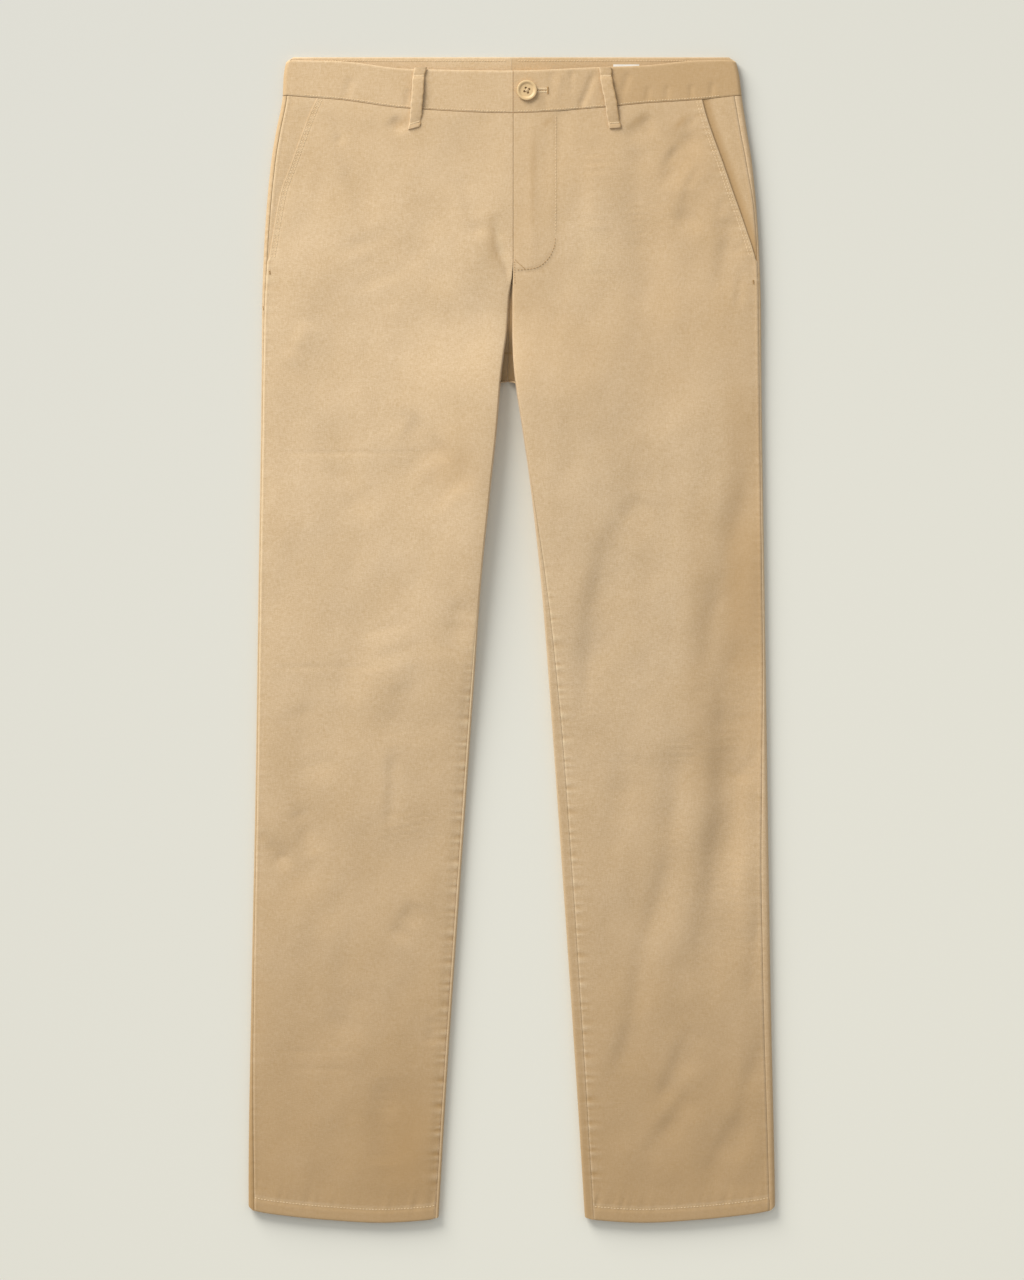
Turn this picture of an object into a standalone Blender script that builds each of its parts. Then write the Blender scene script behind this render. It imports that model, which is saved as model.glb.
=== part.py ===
# Chino trousers lying on their back with the front up. +X points to the viewer's right,
# +Y to the waist and +Z up, and the middle of the garment stands on the origin.
# All values are metres. "drop" is measured down the garment from the top edge of the back
# waistband, and "out" is measured from the middle line towards either side seam.

import math

import bmesh
import bpy
import numpy as np
from mathutils import Vector

LENGTH = 1.0935  # back waistband edge to the lowest point of the hems
WALL = 0.0028  # legs: shell cloth with its seam allowances
BAND_WALL = 0.0026  # waistband: two layers and interfacing
SIDE_WALL = 0.0017  # pocket side piece, one layer
GAP = 0.0003  # between pieces at a seam
TUCK = 0.011  # how far the pocket side piece reaches under the front
LOWEST_HOLLOW = 0.0006  # between front and back where a trough presses them together
HIGHEST_HOLLOW = 0.0039

SIDE_SEAM_TOP = 0.0369  # where the side seam meets the waistband
FLY_END = 0.205
FORK_END = 0.3046  # lowest point of the seat seam, between the legs
LEG_START = 0.334  # from here down each leg is a closed tube
HEM_NOMINAL = 1.078  # side seam's end; the hem bows down from there
HEM_HEIGHT = 0.0125
HEM_SWELL = 0.0004  # the turned hem is thicker by this on each face
HEM_STEP = 0.003  # and swells within this
FRONT_BACK_HEM_STEP = 0.002  # the back hem stops this far above the front one
BACK_HEM_START = 0.900
BACK_TOP_END = 0.120  # the back panel's rows run level at the waist and dip like the front's here

FLY_WIDTH = 0.0395  # the right front is thicker over the zip, and steps down at its stitching
FLY_RAISE = 0.0008
FLY_STEP = 0.005

BAND_HEIGHT = 2 * BAND_WALL + 0.0030  # laid waistband, its front half on its back half
BAND_LAP = 0.0004  # rise of the buttoned end over the end beneath it
LAP_FADE = (0.045, 0.070)
BAND_START = 0.0015  # the buttoned end's edge
BAND_FRONT = (0.004, 0.014, 0.045, 0.075, 0.100, 0.125, 0.150, 0.175, 0.198)
BAND_BACK = (0.190, 0.150, 0.100, 0.050, GAP / 2)
BAND_SHARES = (0.0, 0.08, 0.5, 0.92, 1.0)  # down the waistband
CORNER_DIP = 0.003  # the top edge runs this much lower round the side
UNDERLAP_END = 0.036  # the left waistband reaches this far under the right one
UNDERLAP_TOP = 0.0056
UNDERLAP_SLOPE = (-0.001, 0.012)
SEAT = GAP + 0.0002  # what lies on the waistband is this far from it

BUTTON_X, BUTTON_DROP, BUTTON_RADIUS = 0.0141, 0.0320, 0.0094
BUTTON_SIDES = 28
HOLE_RADIUS, HOLE_SPREAD = 0.0008, 0.0019
BUTTON_TURN = math.radians(20)

LOOP_WIDTH, LOOP_WALL, LOOP_ARCH = 0.0118, 0.0017, 0.0008
LOOP_PILLOW = 0.0002  # its middle is this much higher than its edges
LOOP_FOLD, LOOP_FOLD_RAISE = 0.008, 0.0006  # the end turned under at the bottom
LABEL_LEFT, LABEL_WIDTH, LABEL_TOP, LABEL_LENGTH = 0.0952, 0.0244, 0.0070, 0.032
LABEL_WALL = 0.001
ZIP_X, ZIP_TOP, ZIP_WIDTH, ZIP_WALL, ZIP_LENGTH = 0.0150, 0.0560, 0.030, 0.0011, 0.145
CHAIN_WIDTH, CHAIN_HEIGHT, CHAIN_SLOPE = 0.0055, 0.0011, 0.001
SLIDER_LENGTH, SLIDER_RISE = 0.011, 1.35  # the slider stands this many times higher than the chain

# Half widths of the laid garment at its rounded outer edges.
OUTLINE = (
    ("drop", "left", "right"),
    (0.0000, 0.2090, 0.2078),
    (0.0038, 0.2113, 0.2099),
    (0.0188, 0.2141, 0.2136),
    (0.0369, 0.2150, 0.2158),
    (0.0724, 0.2216, 0.2211),
    (0.0959, 0.2254, 0.2249),
    (0.1429, 0.2301, 0.2296),
    (0.1899, 0.2329, 0.2324),
    (0.2369, 0.2343, 0.2338),
    (0.3074, 0.2348, 0.2343),
    (0.4954, 0.2376, 0.2371),
    (0.6834, 0.2404, 0.2399),
    (0.8714, 0.2442, 0.2428),
    (1.0594, 0.2470, 0.2468),
    (1.0780, 0.2470, 0.2470),
)

# Inner edges: the fly down to its end, then the two sides of the fork, then the inner legs.
# Signed x, with the seat seam of the back between them.
INNER = (
    ("drop", "left", "right", "seat"),
    (0.0369, 0.0012, 0.0015, 0.0000),
    (0.1900, 0.0012, 0.0015, 0.0000),
    (0.2050, 0.0001, 0.0012, -0.0004),
    (0.2265, -0.0026, 0.0005, -0.0014),
    (0.2576, -0.0045, 0.0004, -0.0028),
    (0.2792, -0.0073, 0.0010, -0.0036),
    (0.3046, -0.0103, 0.0031, -0.0037),
    (0.3487, -0.0139, 0.0097, -0.0037),
    (0.4014, -0.0195, 0.0172, -0.0037),
    (0.4954, -0.0289, 0.0275, -0.0037),
    (0.5894, -0.0355, 0.0350, -0.0037),
    (0.7774, -0.0486, 0.0482, -0.0037),
    (0.9654, -0.0618, 0.0613, -0.0037),
    (1.0780, -0.0686, 0.0684, -0.0037),
)

# How far inside the outer and inner edges the side seams and inseams lie on the top face.
SEAM_INSET = (
    ("drop", "side_left", "side_right", "inner_left", "inner_right"),
    (0.0369, 0.0044, 0.0073, 0.0043, 0.0043),
    (0.0959, 0.0044, 0.0058, 0.0043, 0.0043),
    (0.1429, 0.0044, 0.0045, 0.0043, 0.0043),
    (0.2369, 0.0048, 0.0045, 0.0043, 0.0043),
    (0.4014, 0.0044, 0.0045, 0.0043, 0.0060),
    (0.8714, 0.0044, 0.0050, 0.0043, 0.0085),
    (1.0780, 0.0056, 0.0056, 0.0043, 0.0085),
)

# Slanted pocket mouths, as distance out from the middle.
POCKET = (
    ("drop", "left", "right"),
    (0.0369, 0.1828, 0.1785),
    (0.0530, 0.1900, 0.1826),
    (0.1015, 0.2075, 0.1990),
    (0.1278, 0.2169, 0.2078),
    (0.1570, 0.2225, 0.2180),
    (0.1890, 0.2278, 0.2282),
    (0.2100, 0.2320, 0.2320),
)
POCKET_END = 0.192
POCKET_SIDE_END = 0.214
POCKET_CLEAR = GAP + 0.0001  # under the front, the side piece keeps this gap
MOUTH_OPENS = (0.001, 0.010)  # it rises to the side seam where the mouth is this wide

# Waistband: top edge of the front half and the seam under it, across the front.
WAIST = (
    ("x", "top", "seam"),
    (-0.2110, 0.0034, 0.0369),
    (-0.1630, 0.0044, 0.0406),
    (-0.0975, 0.0116, 0.0489),
    (-0.0010, 0.0132, 0.0531),
    (0.0850, 0.0098, 0.0480),
    (0.1230, 0.0085, 0.0442),
    (0.1740, 0.0038, 0.0408),
    (0.2110, 0.0030, 0.0369),
)

# Lower edge of a leg, across it from the side edge (0) to the inner edge (1).
HEM = (
    ("across", "drop"),
    (0.00, 1.0780),
    (0.03, 1.0822),
    (0.20, 1.0870),
    (0.40, 1.0906),
    (0.69, 1.0935),
    (0.95, 1.0908),
    (1.00, 1.0884),
)

# Hollow between the front and back panels: at the side edge, in the middle, at the inner edge.
LIE = (
    ("drop", "side", "crown", "inner"),
    (0.0369, 0.0026, 0.0028, 0.0026),
    (0.1500, 0.0026, 0.0033, 0.0027),
    (0.2050, 0.0026, 0.0034, 0.0022),
    (0.2300, 0.0025, 0.0034, 0.0014),
    (0.2900, 0.0021, 0.0034, 0.0011),
    (0.3340, 0.0019, 0.0034, 0.0018),
    (0.5000, 0.0018, 0.0032, 0.0020),
    (0.9000, 0.0016, 0.0029, 0.0018),
    (1.0780, 0.0013, 0.0018, 0.0013),
)
EDGE_FALL = 0.011  # distance over which the surface falls to its edges

# How far the back panel's inner edge is rolled up from the floor, in degrees.
ROLL = (
    ("drop", "turn"),
    (0.0369, 0.0),
    (0.3046, 0.0),
    (0.3144, 95.0),
    (0.3242, 155.0),
    (0.3340, 180.0),
    (1.0780, 180.0),
)
RETREAT = 0.0095  # below the fork, the front's inner edge makes room for the roll within this

# Largest folds of the front: a line from one end to the other, its half width and its height
# in its middle, negative for a trough.
FOLDS = (
    ("x0", "drop0", "x1", "drop1", "width", "height"),
    (0.1980, 0.6030, 0.1600, 0.8700, 0.0130, -0.0022),
    (0.1600, 0.6200, 0.1420, 0.8300, 0.0150, 0.0009),
    (0.2180, 0.6400, 0.2110, 0.8300, 0.0110, 0.0008),
    (0.2210, 0.3100, 0.1620, 0.5950, 0.0180, -0.0012),
    (0.0870, 0.4600, 0.0560, 0.6150, 0.0100, -0.0010),
    (0.1460, 0.7300, 0.0810, 0.9700, 0.0130, -0.0009),
    (0.1630, 0.9000, 0.1300, 0.9900, 0.0110, -0.0008),
    (0.1750, 1.0000, 0.0880, 1.0680, 0.0120, -0.0010),
    (0.2280, 0.9150, 0.2040, 1.0400, 0.0110, -0.0008),
    (0.0880, 0.1000, 0.0720, 0.3050, 0.0140, -0.0007),
    (0.0680, 0.0850, 0.0640, 0.2300, 0.0120, 0.0005),
    (0.1760, 0.1150, 0.1500, 0.1500, 0.0100, -0.0006),
    (-0.1280, 0.3320, -0.0290, 0.4050, 0.0130, -0.0014),
    (-0.1030, 0.5900, -0.1270, 0.6250, 0.0120, -0.0013),
    (-0.1310, 0.5600, -0.1160, 0.5950, 0.0120, 0.0008),
    (-0.1780, 0.0450, -0.0620, 0.2350, 0.0140, -0.0011),
    (-0.0220, 0.1450, -0.0040, 0.2080, 0.0080, -0.0010),
    (-0.1950, 0.3350, -0.1400, 0.4500, 0.0130, -0.0008),
    (-0.1160, 0.6550, -0.1160, 0.7200, 0.0090, -0.0009),
    (-0.2280, 0.7150, -0.2020, 0.7650, 0.0090, -0.0009),
    (-0.2360, 0.7800, -0.1900, 0.8400, 0.0100, -0.0009),
    (-0.1280, 0.9550, -0.1280, 1.0450, 0.0110, -0.0007),
    (-0.2060, 0.2350, -0.2240, 0.2800, 0.0090, 0.0007),
)
FOLD_FADE = (-0.10, 0.35)  # shares of a fold's length over which each of its ends dies out
CALM_WAIST = 0.070  # no folds between the waistband and here
CALM_HEM = (1.030, 1.065)  # nor at the hems

# Belt loops: middle line from the top of the waistband to the folded lower end.
LOOPS = (
    ("drop", "left", "right"),
    (0.0118, -0.0856, 0.0880),
    (0.0240, -0.0878, 0.0893),
    (0.0500, -0.0892, 0.0938),
    (0.0660, -0.0914, 0.0966),
)

# Waist button, turned: from the middle of its dished top over the rim to its flat back.
BUTTON_PROFILE = (
    ("share_of_radius", "height"),
    (0.00, 0.0018),
    (0.42, 0.0018),
    (0.62, 0.0022),
    (0.74, 0.0029),
    (0.84, 0.0031),
    (0.94, 0.0028),
    (1.00, 0.0020),
    (0.97, 0.0010),
    (0.80, 0.0002),
    (0.00, 0.0000),
)

FRONT_SHARES = (0, 0.02, 0.06, 0.13, 0.22, 0.32, 0.43, 0.55, 0.67, 0.79, 0.89, 0.96, 1.0)
ROLL_SHARES = (0, 0.17, 0.34, 0.52, 0.70, 0.84, 1.0)
MOUTH_SHARES = (0.0, 0.35, 0.62, 0.86, 1.0)
FORK_ROWS = (0.2265, 0.2455, 0.2650, 0.2850)

SIDES = {"left": -1, "right": 1}
COTTON = ("beige cotton twill", (0.604, 0.442, 0.255), 0.88)
COROZO = ("beige button resin", (0.604, 0.430, 0.225), 0.38)
ZIP_NYLON = ("beige zip nylon", (0.520, 0.390, 0.240), 0.60)
WHITE_TAPE = ("white woven tape", (0.860, 0.850, 0.820), 0.75)


def column(table, name):
    place = table[0].index(name)
    return np.array([row[place] for row in table[1:]])


def read(table, name, at):
    """A column of a table at any place, on a smooth curve that adds no wiggle of its own."""
    keys, values = column(table, table[0][0]), column(table, name)
    steps = np.diff(keys)
    rises = np.diff(values) / steps
    product = rises[:-1] * rises[1:]
    total = np.where(product > 0, rises[:-1] + rises[1:], 1.0)
    slopes = np.concatenate([rises[:1], np.where(product > 0, 2 * product / total, 0.0), rises[-1:]])
    at = np.clip(np.asarray(at, float), keys[0], keys[-1])
    i = np.clip(np.searchsorted(keys, at) - 1, 0, len(steps) - 1)
    t = (at - keys[i]) / steps[i]
    return (
        values[i] * (1 + 2 * t) * (1 - t) ** 2
        + values[i + 1] * t**2 * (3 - 2 * t)
        + steps[i] * t * (1 - t) * (slopes[i] * (1 - t) - slopes[i + 1] * t)
    )


def ease(value, start, end):
    t = np.clip((value - start) / (end - start), 0.0, 1.0)
    return t * t * (3 - 2 * t)


def place(x, drop, z):
    """World points from signed x, drop and height, which may be arrays of any shape."""
    x, drop, z = np.broadcast_arrays(x, drop, z)
    return np.stack([x, LENGTH / 2 - drop, z], axis=-1)


def finish_object(name, mesh, finish):
    label, colour, roughness = finish
    material = bpy.data.materials.get(label)
    if material is None:
        material = bpy.data.materials.new(label)
        material.use_nodes = True
        shader = material.node_tree.nodes["Principled BSDF"]
        shader.inputs["Base Color"].default_value = (*colour, 1.0)
        shader.inputs["Roughness"].default_value = roughness
        shader.inputs["Metallic"].default_value = 0.0
    mesh.materials.append(material)
    obj = bpy.data.objects.new(name, mesh)
    trousers.objects.link(obj)
    return obj


def cloth(name, outer, inner, finish=COTTON):
    """A closed wall between two grids of points, outer and inner skin, row by row."""
    mesh = bmesh.new()
    rows, cols = outer.shape[:2]
    skins = [[[mesh.verts.new(p) for p in row] for row in skin] for skin in (outer, inner)]
    for skin in skins:
        for r in range(rows - 1):
            for c in range(cols - 1):
                mesh.faces.new((skin[r][c], skin[r][c + 1], skin[r + 1][c + 1], skin[r + 1][c]))
    rim = [(0, c) for c in range(cols)] + [(r, cols - 1) for r in range(1, rows)]
    rim += [(rows - 1, c) for c in range(cols - 2, -1, -1)] + [(r, 0) for r in range(rows - 2, 0, -1)]
    for (r0, c0), (r1, c1) in zip(rim, rim[1:] + rim[:1]):
        mesh.faces.new((skins[0][r0][c0], skins[0][r1][c1], skins[1][r1][c1], skins[1][r0][c0]))
    bmesh.ops.recalc_face_normals(mesh, faces=mesh.faces)
    data = bpy.data.meshes.new(name)
    mesh.to_mesh(data)
    mesh.free()
    return finish_object(name, data, finish)


def folds(x, drop):
    """Height that the largest folds add at each point."""
    total = np.zeros(np.broadcast(x, drop).shape)
    for x0, drop0, x1, drop1, width, height in FOLDS[1:]:
        run = math.hypot(x1 - x0, drop1 - drop0)
        ux, ud = (x1 - x0) / run, (drop1 - drop0) / run
        along = ((x - x0) * ux + (drop - drop0) * ud) / run
        across = (x - x0) * ud - (drop - drop0) * ux
        ends = ease(along, *FOLD_FADE) * ease(1 - along, *FOLD_FADE)
        total += height * ends * np.exp(-((across / width) ** 2))
    return total


def edge_heights(drop):
    """Height of the rounded edges at the side and at the inner leg."""
    return 2 * WALL + read(LIE, "side", drop), 2 * WALL + read(LIE, "inner", drop)


def leg_edges(side, drop):
    """Distance out of the side edge, side seam, inseam and inner edge."""
    outer = read(OUTLINE, side, drop)
    inner = SIDES[side] * read(INNER, side, drop)
    side_seam = outer - read(SEAM_INSET, "side_" + side, drop)
    inset = read(SEAM_INSET, "inner_" + side, drop) * ease(drop, FORK_END, FORK_END + RETREAT)
    return outer, side_seam, inner + inset, inner


def settled_drop(side, out, nominal):
    """The drop of a point of a panel, whose rows follow the waist seam above and the hem below."""
    seam = read(WAIST, "seam", SIDES[side] * out)
    hem_side, _, _, hem_inner = leg_edges(side, HEM_NOMINAL)
    across = np.clip((hem_side - out) / (hem_side - hem_inner), 0.0, 1.0)
    hem = read(HEM, "drop", across)
    upper = (1 - ease(nominal, SIDE_SEAM_TOP, FLY_END)) * (seam - SIDE_SEAM_TOP)
    lower = ease(nominal, 0.75, HEM_NOMINAL) * (hem - HEM_NOMINAL)
    return nominal + upper + lower


def panel_rows():
    """Drops of a panel's rows before they follow the waist seam and the hem."""
    hips = np.linspace(SIDE_SEAM_TOP + GAP, FLY_END, 8)
    fork = np.linspace(FORK_END, LEG_START, 7)
    legs = np.linspace(LEG_START, HEM_NOMINAL - HEM_HEIGHT - HEM_STEP, 22)[1:]
    hem = HEM_NOMINAL - np.array([HEM_HEIGHT, HEM_HEIGHT - HEM_STEP, 0.0])
    return np.concatenate([hips, FORK_ROWS, fork, legs, hem])


def front_hollow(side, x, drop, edge_out, inner_out):
    """Hollow under the front panel, from the edges' fall, the crown and the folds."""
    out = SIDES[side] * x
    crown = read(LIE, "crown", drop)
    near_side = np.exp(-(edge_out - out) / EDGE_FALL)
    near_inner = np.exp(-(out - inner_out) / EDGE_FALL)
    fall = (crown - read(LIE, "side", drop)) * near_side + (crown - read(LIE, "inner", drop)) * near_inner
    free = np.clip(1 - near_side - near_inner, 0, 1)
    free = free * ease(drop, SIDE_SEAM_TOP, CALM_WAIST) * (1 - ease(drop, *CALM_HEM))
    return np.clip(crown - fall + folds(x, drop) * free, LOWEST_HOLLOW, HIGHEST_HOLLOW)


def front_panel(side):
    sign = SIDES[side]
    nominal = panel_rows()[:, None]
    _, side_seam, inseam, _ = leg_edges(side, nominal)
    pocket = read(POCKET, side, nominal)
    edge = np.where(nominal < POCKET_END, np.minimum(pocket, side_seam), side_seam) - GAP / 2
    inner_edge = inseam + GAP / 2 * ease(nominal, FORK_END, LEG_START)
    out = edge + (inner_edge - edge) * np.array(FRONT_SHARES)
    drop = settled_drop(side, out, nominal)
    hollow = front_hollow(side, sign * out, drop, edge, inseam)
    fly = FLY_RAISE * (1 - ease(out, FLY_WIDTH - FLY_STEP, FLY_WIDTH))
    fly = fly * (1 - ease(drop, FLY_END - FLY_STEP, FLY_END)) * (side == "right")
    hem = HEM_SWELL * ease(nominal, HEM_NOMINAL - HEM_HEIGHT, HEM_NOMINAL - HEM_HEIGHT + HEM_STEP)
    top = 2 * WALL + hollow + fly
    cloth(
        "front_panel_" + side,
        place(sign * out, drop, top + hem),
        place(sign * out, drop, top - WALL - hem),
    )


def rolled(flat_end, direction, radius, turn, length, shares):
    """A strip that leaves the floor at flat_end and rolls up by the angle turn.

    It returns the outer and the inner skin, each as distance out and height. The strip runs on
    straight past the roll, for what is left of its length.
    """
    run = length * np.array(shares)
    angle = np.minimum(run / radius, turn)
    rest = np.maximum(run - radius * turn, 0.0)
    out = flat_end + direction * (radius * np.sin(angle) + rest * np.cos(turn))
    up = radius * (1 - np.cos(angle)) + rest * np.sin(turn)
    return (out, up), (out - direction * WALL * np.sin(angle), up + WALL * np.cos(angle))


def back_panel(side):
    """Flat on the floor, and rolled up at both edges to the seams on the top face."""
    sign = SIDES[side]
    nominal = panel_rows()[:, None]
    outer, side_seam, inseam, inner = leg_edges(side, nominal)
    high_side, high_inner = edge_heights(nominal)

    radius = high_side / 2
    lip = outer - side_seam - GAP / 2 - radius
    at_side = rolled(outer - radius, 1, radius, math.pi, math.pi * radius + lip, ROLL_SHARES[::-1])

    radius = high_inner / 2
    turn = np.radians(read(ROLL, "turn", nominal))
    flat_run = inner + radius - sign * read(INNER, "seat", nominal) - GAP / 2
    rolled_run = math.pi * radius + np.maximum(inseam - inner - radius, GAP) - GAP / 2
    length = flat_run + (rolled_run - flat_run) * turn / math.pi - WALL * np.sin(turn)
    at_inner = rolled(inner + radius, -1, radius, turn, length, ROLL_SHARES)

    middle = (at_side[0][0][:, -1:] + at_inner[0][0][:, :1]) / 2
    skins = []
    for skin, height in ((0, 0.0), (1, WALL)):
        out = np.hstack([at_side[skin][0], middle, at_inner[skin][0]])
        up = np.hstack([at_side[skin][1], np.full_like(middle, height), at_inner[skin][1]])
        drop = settled_drop(side, np.minimum(out, outer), nominal)
        on_floor = 1 - ease(up, WALL, 2 * WALL)
        level_top = (1 - ease(nominal, SIDE_SEAM_TOP, BACK_TOP_END)) * on_floor
        drop = drop - level_top * (drop - nominal)
        drop = drop - FRONT_BACK_HEM_STEP * ease(nominal, BACK_HEM_START, HEM_NOMINAL) * on_floor
        skins.append(place(sign * out, drop, up))
    cloth("back_panel_" + side, *skins)


def pocket_side(side):
    """The piece of shell cloth between the pocket mouth and the side seam."""
    sign = SIDES[side]
    nominal = np.linspace(SIDE_SEAM_TOP + GAP, POCKET_SIDE_END, 12)[:, None]
    side_seam = leg_edges(side, nominal)[1]
    mouth = np.minimum(read(POCKET, side, nominal), side_seam)
    start, end = mouth - TUCK, side_seam - GAP
    out = start + (end - start) * np.array(MOUTH_SHARES)
    drop = settled_drop(side, out, nominal)
    hollow = read(LIE, "side", nominal)
    under = WALL + hollow - POCKET_CLEAR
    rise = ease(out, mouth, side_seam + GAP / 2) * ease(side_seam - mouth, *MOUTH_OPENS)
    top = under + (2 * WALL + hollow - under) * rise
    cloth("pocket_side_" + side, place(sign * out, drop, top), place(sign * out, drop, top - SIDE_WALL))


def band_top(x):
    """Height of the top face of the laid waistband at x, on the side that shows."""
    return BAND_HEIGHT + BAND_LAP * (1 - ease(x, *LAP_FADE)) * (x > BAND_START - GAP)


def waistband(side):
    """One half: across the front from the fly, round the side and back along the floor."""
    sign = SIDES[side]
    share = np.array(BAND_SHARES)
    radius, inner_radius = BAND_HEIGHT / 2, BAND_HEIGHT / 2 - BAND_WALL
    lower = SIDE_SEAM_TOP - GAP
    corner_top = read(WAIST, "top", sign * BAND_FRONT[-1])
    start = (BAND_START,) if side == "right" else (-UNDERLAP_END, -BAND_START)
    outer, inner = [], []
    for out in start + BAND_FRONT:
        x = sign * out
        top, seam = read(WAIST, "top", x), read(WAIST, "seam", x) - GAP
        lap = ease(out, *UNDERLAP_SLOPE) if side == "left" else 1.0
        up = UNDERLAP_TOP + (band_top(x) - UNDERLAP_TOP) * lap
        outer.append(place(x, top + (seam - top) * share, up))
        inner.append(place(x, top + (seam - top) * share, up - BAND_WALL))
    for angle in np.linspace(0, math.pi, 7):
        across, up = math.sin(angle), math.cos(angle)
        top = corner_top * (1 + up) / 2 + CORNER_DIP * across
        drop = top + (lower - top) * share
        middle = read(OUTLINE, side, drop) - radius
        outer.append(place(sign * (middle + radius * across), drop, radius + radius * up))
        inner.append(place(sign * (middle + inner_radius * across), drop, radius + inner_radius * up))
    for out in BAND_BACK:
        outer.append(place(sign * out, lower * share, 0.0))
        inner.append(place(sign * out, lower * share, BAND_WALL))
    cloth("waistband_" + side, np.array(outer), np.array(inner))


def belt_loop(side):
    """A folded strip over the waistband, arched a little, with its lower end turned under."""
    start, end = LOOPS[1][0], LOOPS[-1][0]
    drop = np.linspace(start, end, 9)[:, None]
    across = np.array([-0.5, -0.25, 0.25, 0.5])
    x = read(LOOPS, side, drop) + across * LOOP_WIDTH
    arch = LOOP_ARCH * np.sin(math.pi * np.clip((drop - start) / (end - start), 0, 1)) ** 0.6
    bottom = band_top(x) + SEAT + arch
    turned = LOOP_FOLD_RAISE * ease(drop, end - LOOP_FOLD, end - LOOP_FOLD / 2)
    top = bottom + LOOP_WALL + LOOP_PILLOW * (1 - (2 * across) ** 2) + turned
    cloth("belt_loop_" + side, place(x, drop, top), place(x, drop, bottom))


def fly_zip():
    """Closed zip under the fly: tape, chain down its middle, slider at its top end."""
    half = np.array([CHAIN_WIDTH / 2, CHAIN_WIDTH / 2 + CHAIN_SLOPE, ZIP_WIDTH / 2])
    x = ZIP_X + np.concatenate([-half[::-1], half])
    down = np.array([0.0, SLIDER_LENGTH, SLIDER_LENGTH + CHAIN_SLOPE, ZIP_LENGTH])[:, None]
    ridge = CHAIN_HEIGHT * np.where(down <= SLIDER_LENGTH, SLIDER_RISE, 1.0)
    ridge = ridge * (np.abs(x - ZIP_X) < CHAIN_WIDTH / 2 + CHAIN_SLOPE / 2)
    base = WALL + GAP
    drop = ZIP_TOP + down
    cloth("fly_zip", place(x, drop, base + ZIP_WALL + ridge), place(x, drop, base), ZIP_NYLON)


def waist_label():
    """Plain woven tape on the inside of the back waistband."""
    x = LABEL_LEFT + LABEL_WIDTH * np.linspace(0, 1, 3)
    drop = LABEL_TOP + LABEL_LENGTH * np.linspace(0, 1, 3)[:, None]
    base = BAND_WALL + GAP
    cloth("waist_label", place(x, drop, base + LABEL_WALL), place(x, drop, base), WHITE_TAPE)


def button():
    """Turned four-hole button with a raised rim and a dished middle."""
    mesh = bpy.data.meshes.new("waist_button")
    points = [(share * BUTTON_RADIUS, 0.0, height) for share, height in BUTTON_PROFILE[1:]]
    mesh.from_pydata(points, [(i, i + 1) for i in range(len(points) - 1)], [])
    obj = finish_object("waist_button", mesh, COROZO)
    obj.location = (BUTTON_X, LENGTH / 2 - BUTTON_DROP, float(band_top(BUTTON_X)) + SEAT)
    turned = obj.modifiers.new("Turned", "SCREW")
    turned.steps = turned.render_steps = BUTTON_SIDES
    turned.use_merge_vertices = True
    turned.merge_threshold = 0.00001
    for i in range(4):
        angle = BUTTON_TURN + i * math.pi / 2
        bpy.ops.mesh.primitive_cylinder_add(
            vertices=10,
            radius=HOLE_RADIUS,
            depth=BUTTON_RADIUS,
            location=obj.location + HOLE_SPREAD * Vector((math.cos(angle), math.sin(angle), 0.0)),
        )
        cutter = bpy.context.object
        cutter.name = f"button_hole_{i + 1}"
        for collection in list(cutter.users_collection):
            collection.objects.unlink(cutter)
        cutters.objects.link(cutter)
        cutter.hide_render = True
        cutter.display_type = "WIRE"
        cut = obj.modifiers.new(f"Hole {i + 1}", "BOOLEAN")
        cut.operation = "DIFFERENCE"
        cut.object = cutter
    return obj


for old in list(bpy.data.objects):
    bpy.data.objects.remove(old, do_unlink=True)
trousers = bpy.data.collections.new("chino_trousers")
cutters = bpy.data.collections.new("cutters")
for collection in (trousers, cutters):
    bpy.context.scene.collection.children.link(collection)

for name in SIDES:
    back_panel(name)
    front_panel(name)
    pocket_side(name)
    waistband(name)
    belt_loop(name)
fly_zip()
waist_label()
button()
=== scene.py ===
import math

import bpy
import numpy as np
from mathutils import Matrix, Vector, noise

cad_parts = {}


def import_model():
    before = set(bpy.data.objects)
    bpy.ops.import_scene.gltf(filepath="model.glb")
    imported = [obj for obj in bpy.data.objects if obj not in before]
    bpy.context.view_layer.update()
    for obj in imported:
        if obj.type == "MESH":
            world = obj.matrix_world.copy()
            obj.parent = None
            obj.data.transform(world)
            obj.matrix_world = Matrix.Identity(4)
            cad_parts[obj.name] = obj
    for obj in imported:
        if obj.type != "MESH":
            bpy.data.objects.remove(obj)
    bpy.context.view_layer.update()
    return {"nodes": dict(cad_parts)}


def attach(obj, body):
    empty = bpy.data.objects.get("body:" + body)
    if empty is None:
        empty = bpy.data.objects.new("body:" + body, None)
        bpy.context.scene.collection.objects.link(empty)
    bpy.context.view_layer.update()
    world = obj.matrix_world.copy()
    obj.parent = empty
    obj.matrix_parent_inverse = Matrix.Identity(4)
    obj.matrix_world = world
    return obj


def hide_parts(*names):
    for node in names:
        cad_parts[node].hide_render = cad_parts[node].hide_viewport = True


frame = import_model()
print("frame loaded with", len(frame["nodes"]), "nodes")

mm = 0.001
signOf = {"left": -1, "right": 1}

# ---- laid shape: metres; "drop" runs down from the top edge, "out" from the middle to a side

laid = {
    "length": 1.0935,
    "wall": 2.8 * mm,  # the solids' wall; the thin shells lie on its outside
    "cloth": 0.8 * mm,  # thickness of the shells
    "gap": 0.16 * mm,
    "seamTop": 0.0369,
    "flyEnd": 0.205,
    "forkEnd": 0.3046,
    "legStart": 0.334,
    "hem": 1.078,
    "hemHeight": 12.5 * mm,
    "edgeFall": 11 * mm,
}
halfGap = laid["gap"] / 2

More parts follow.
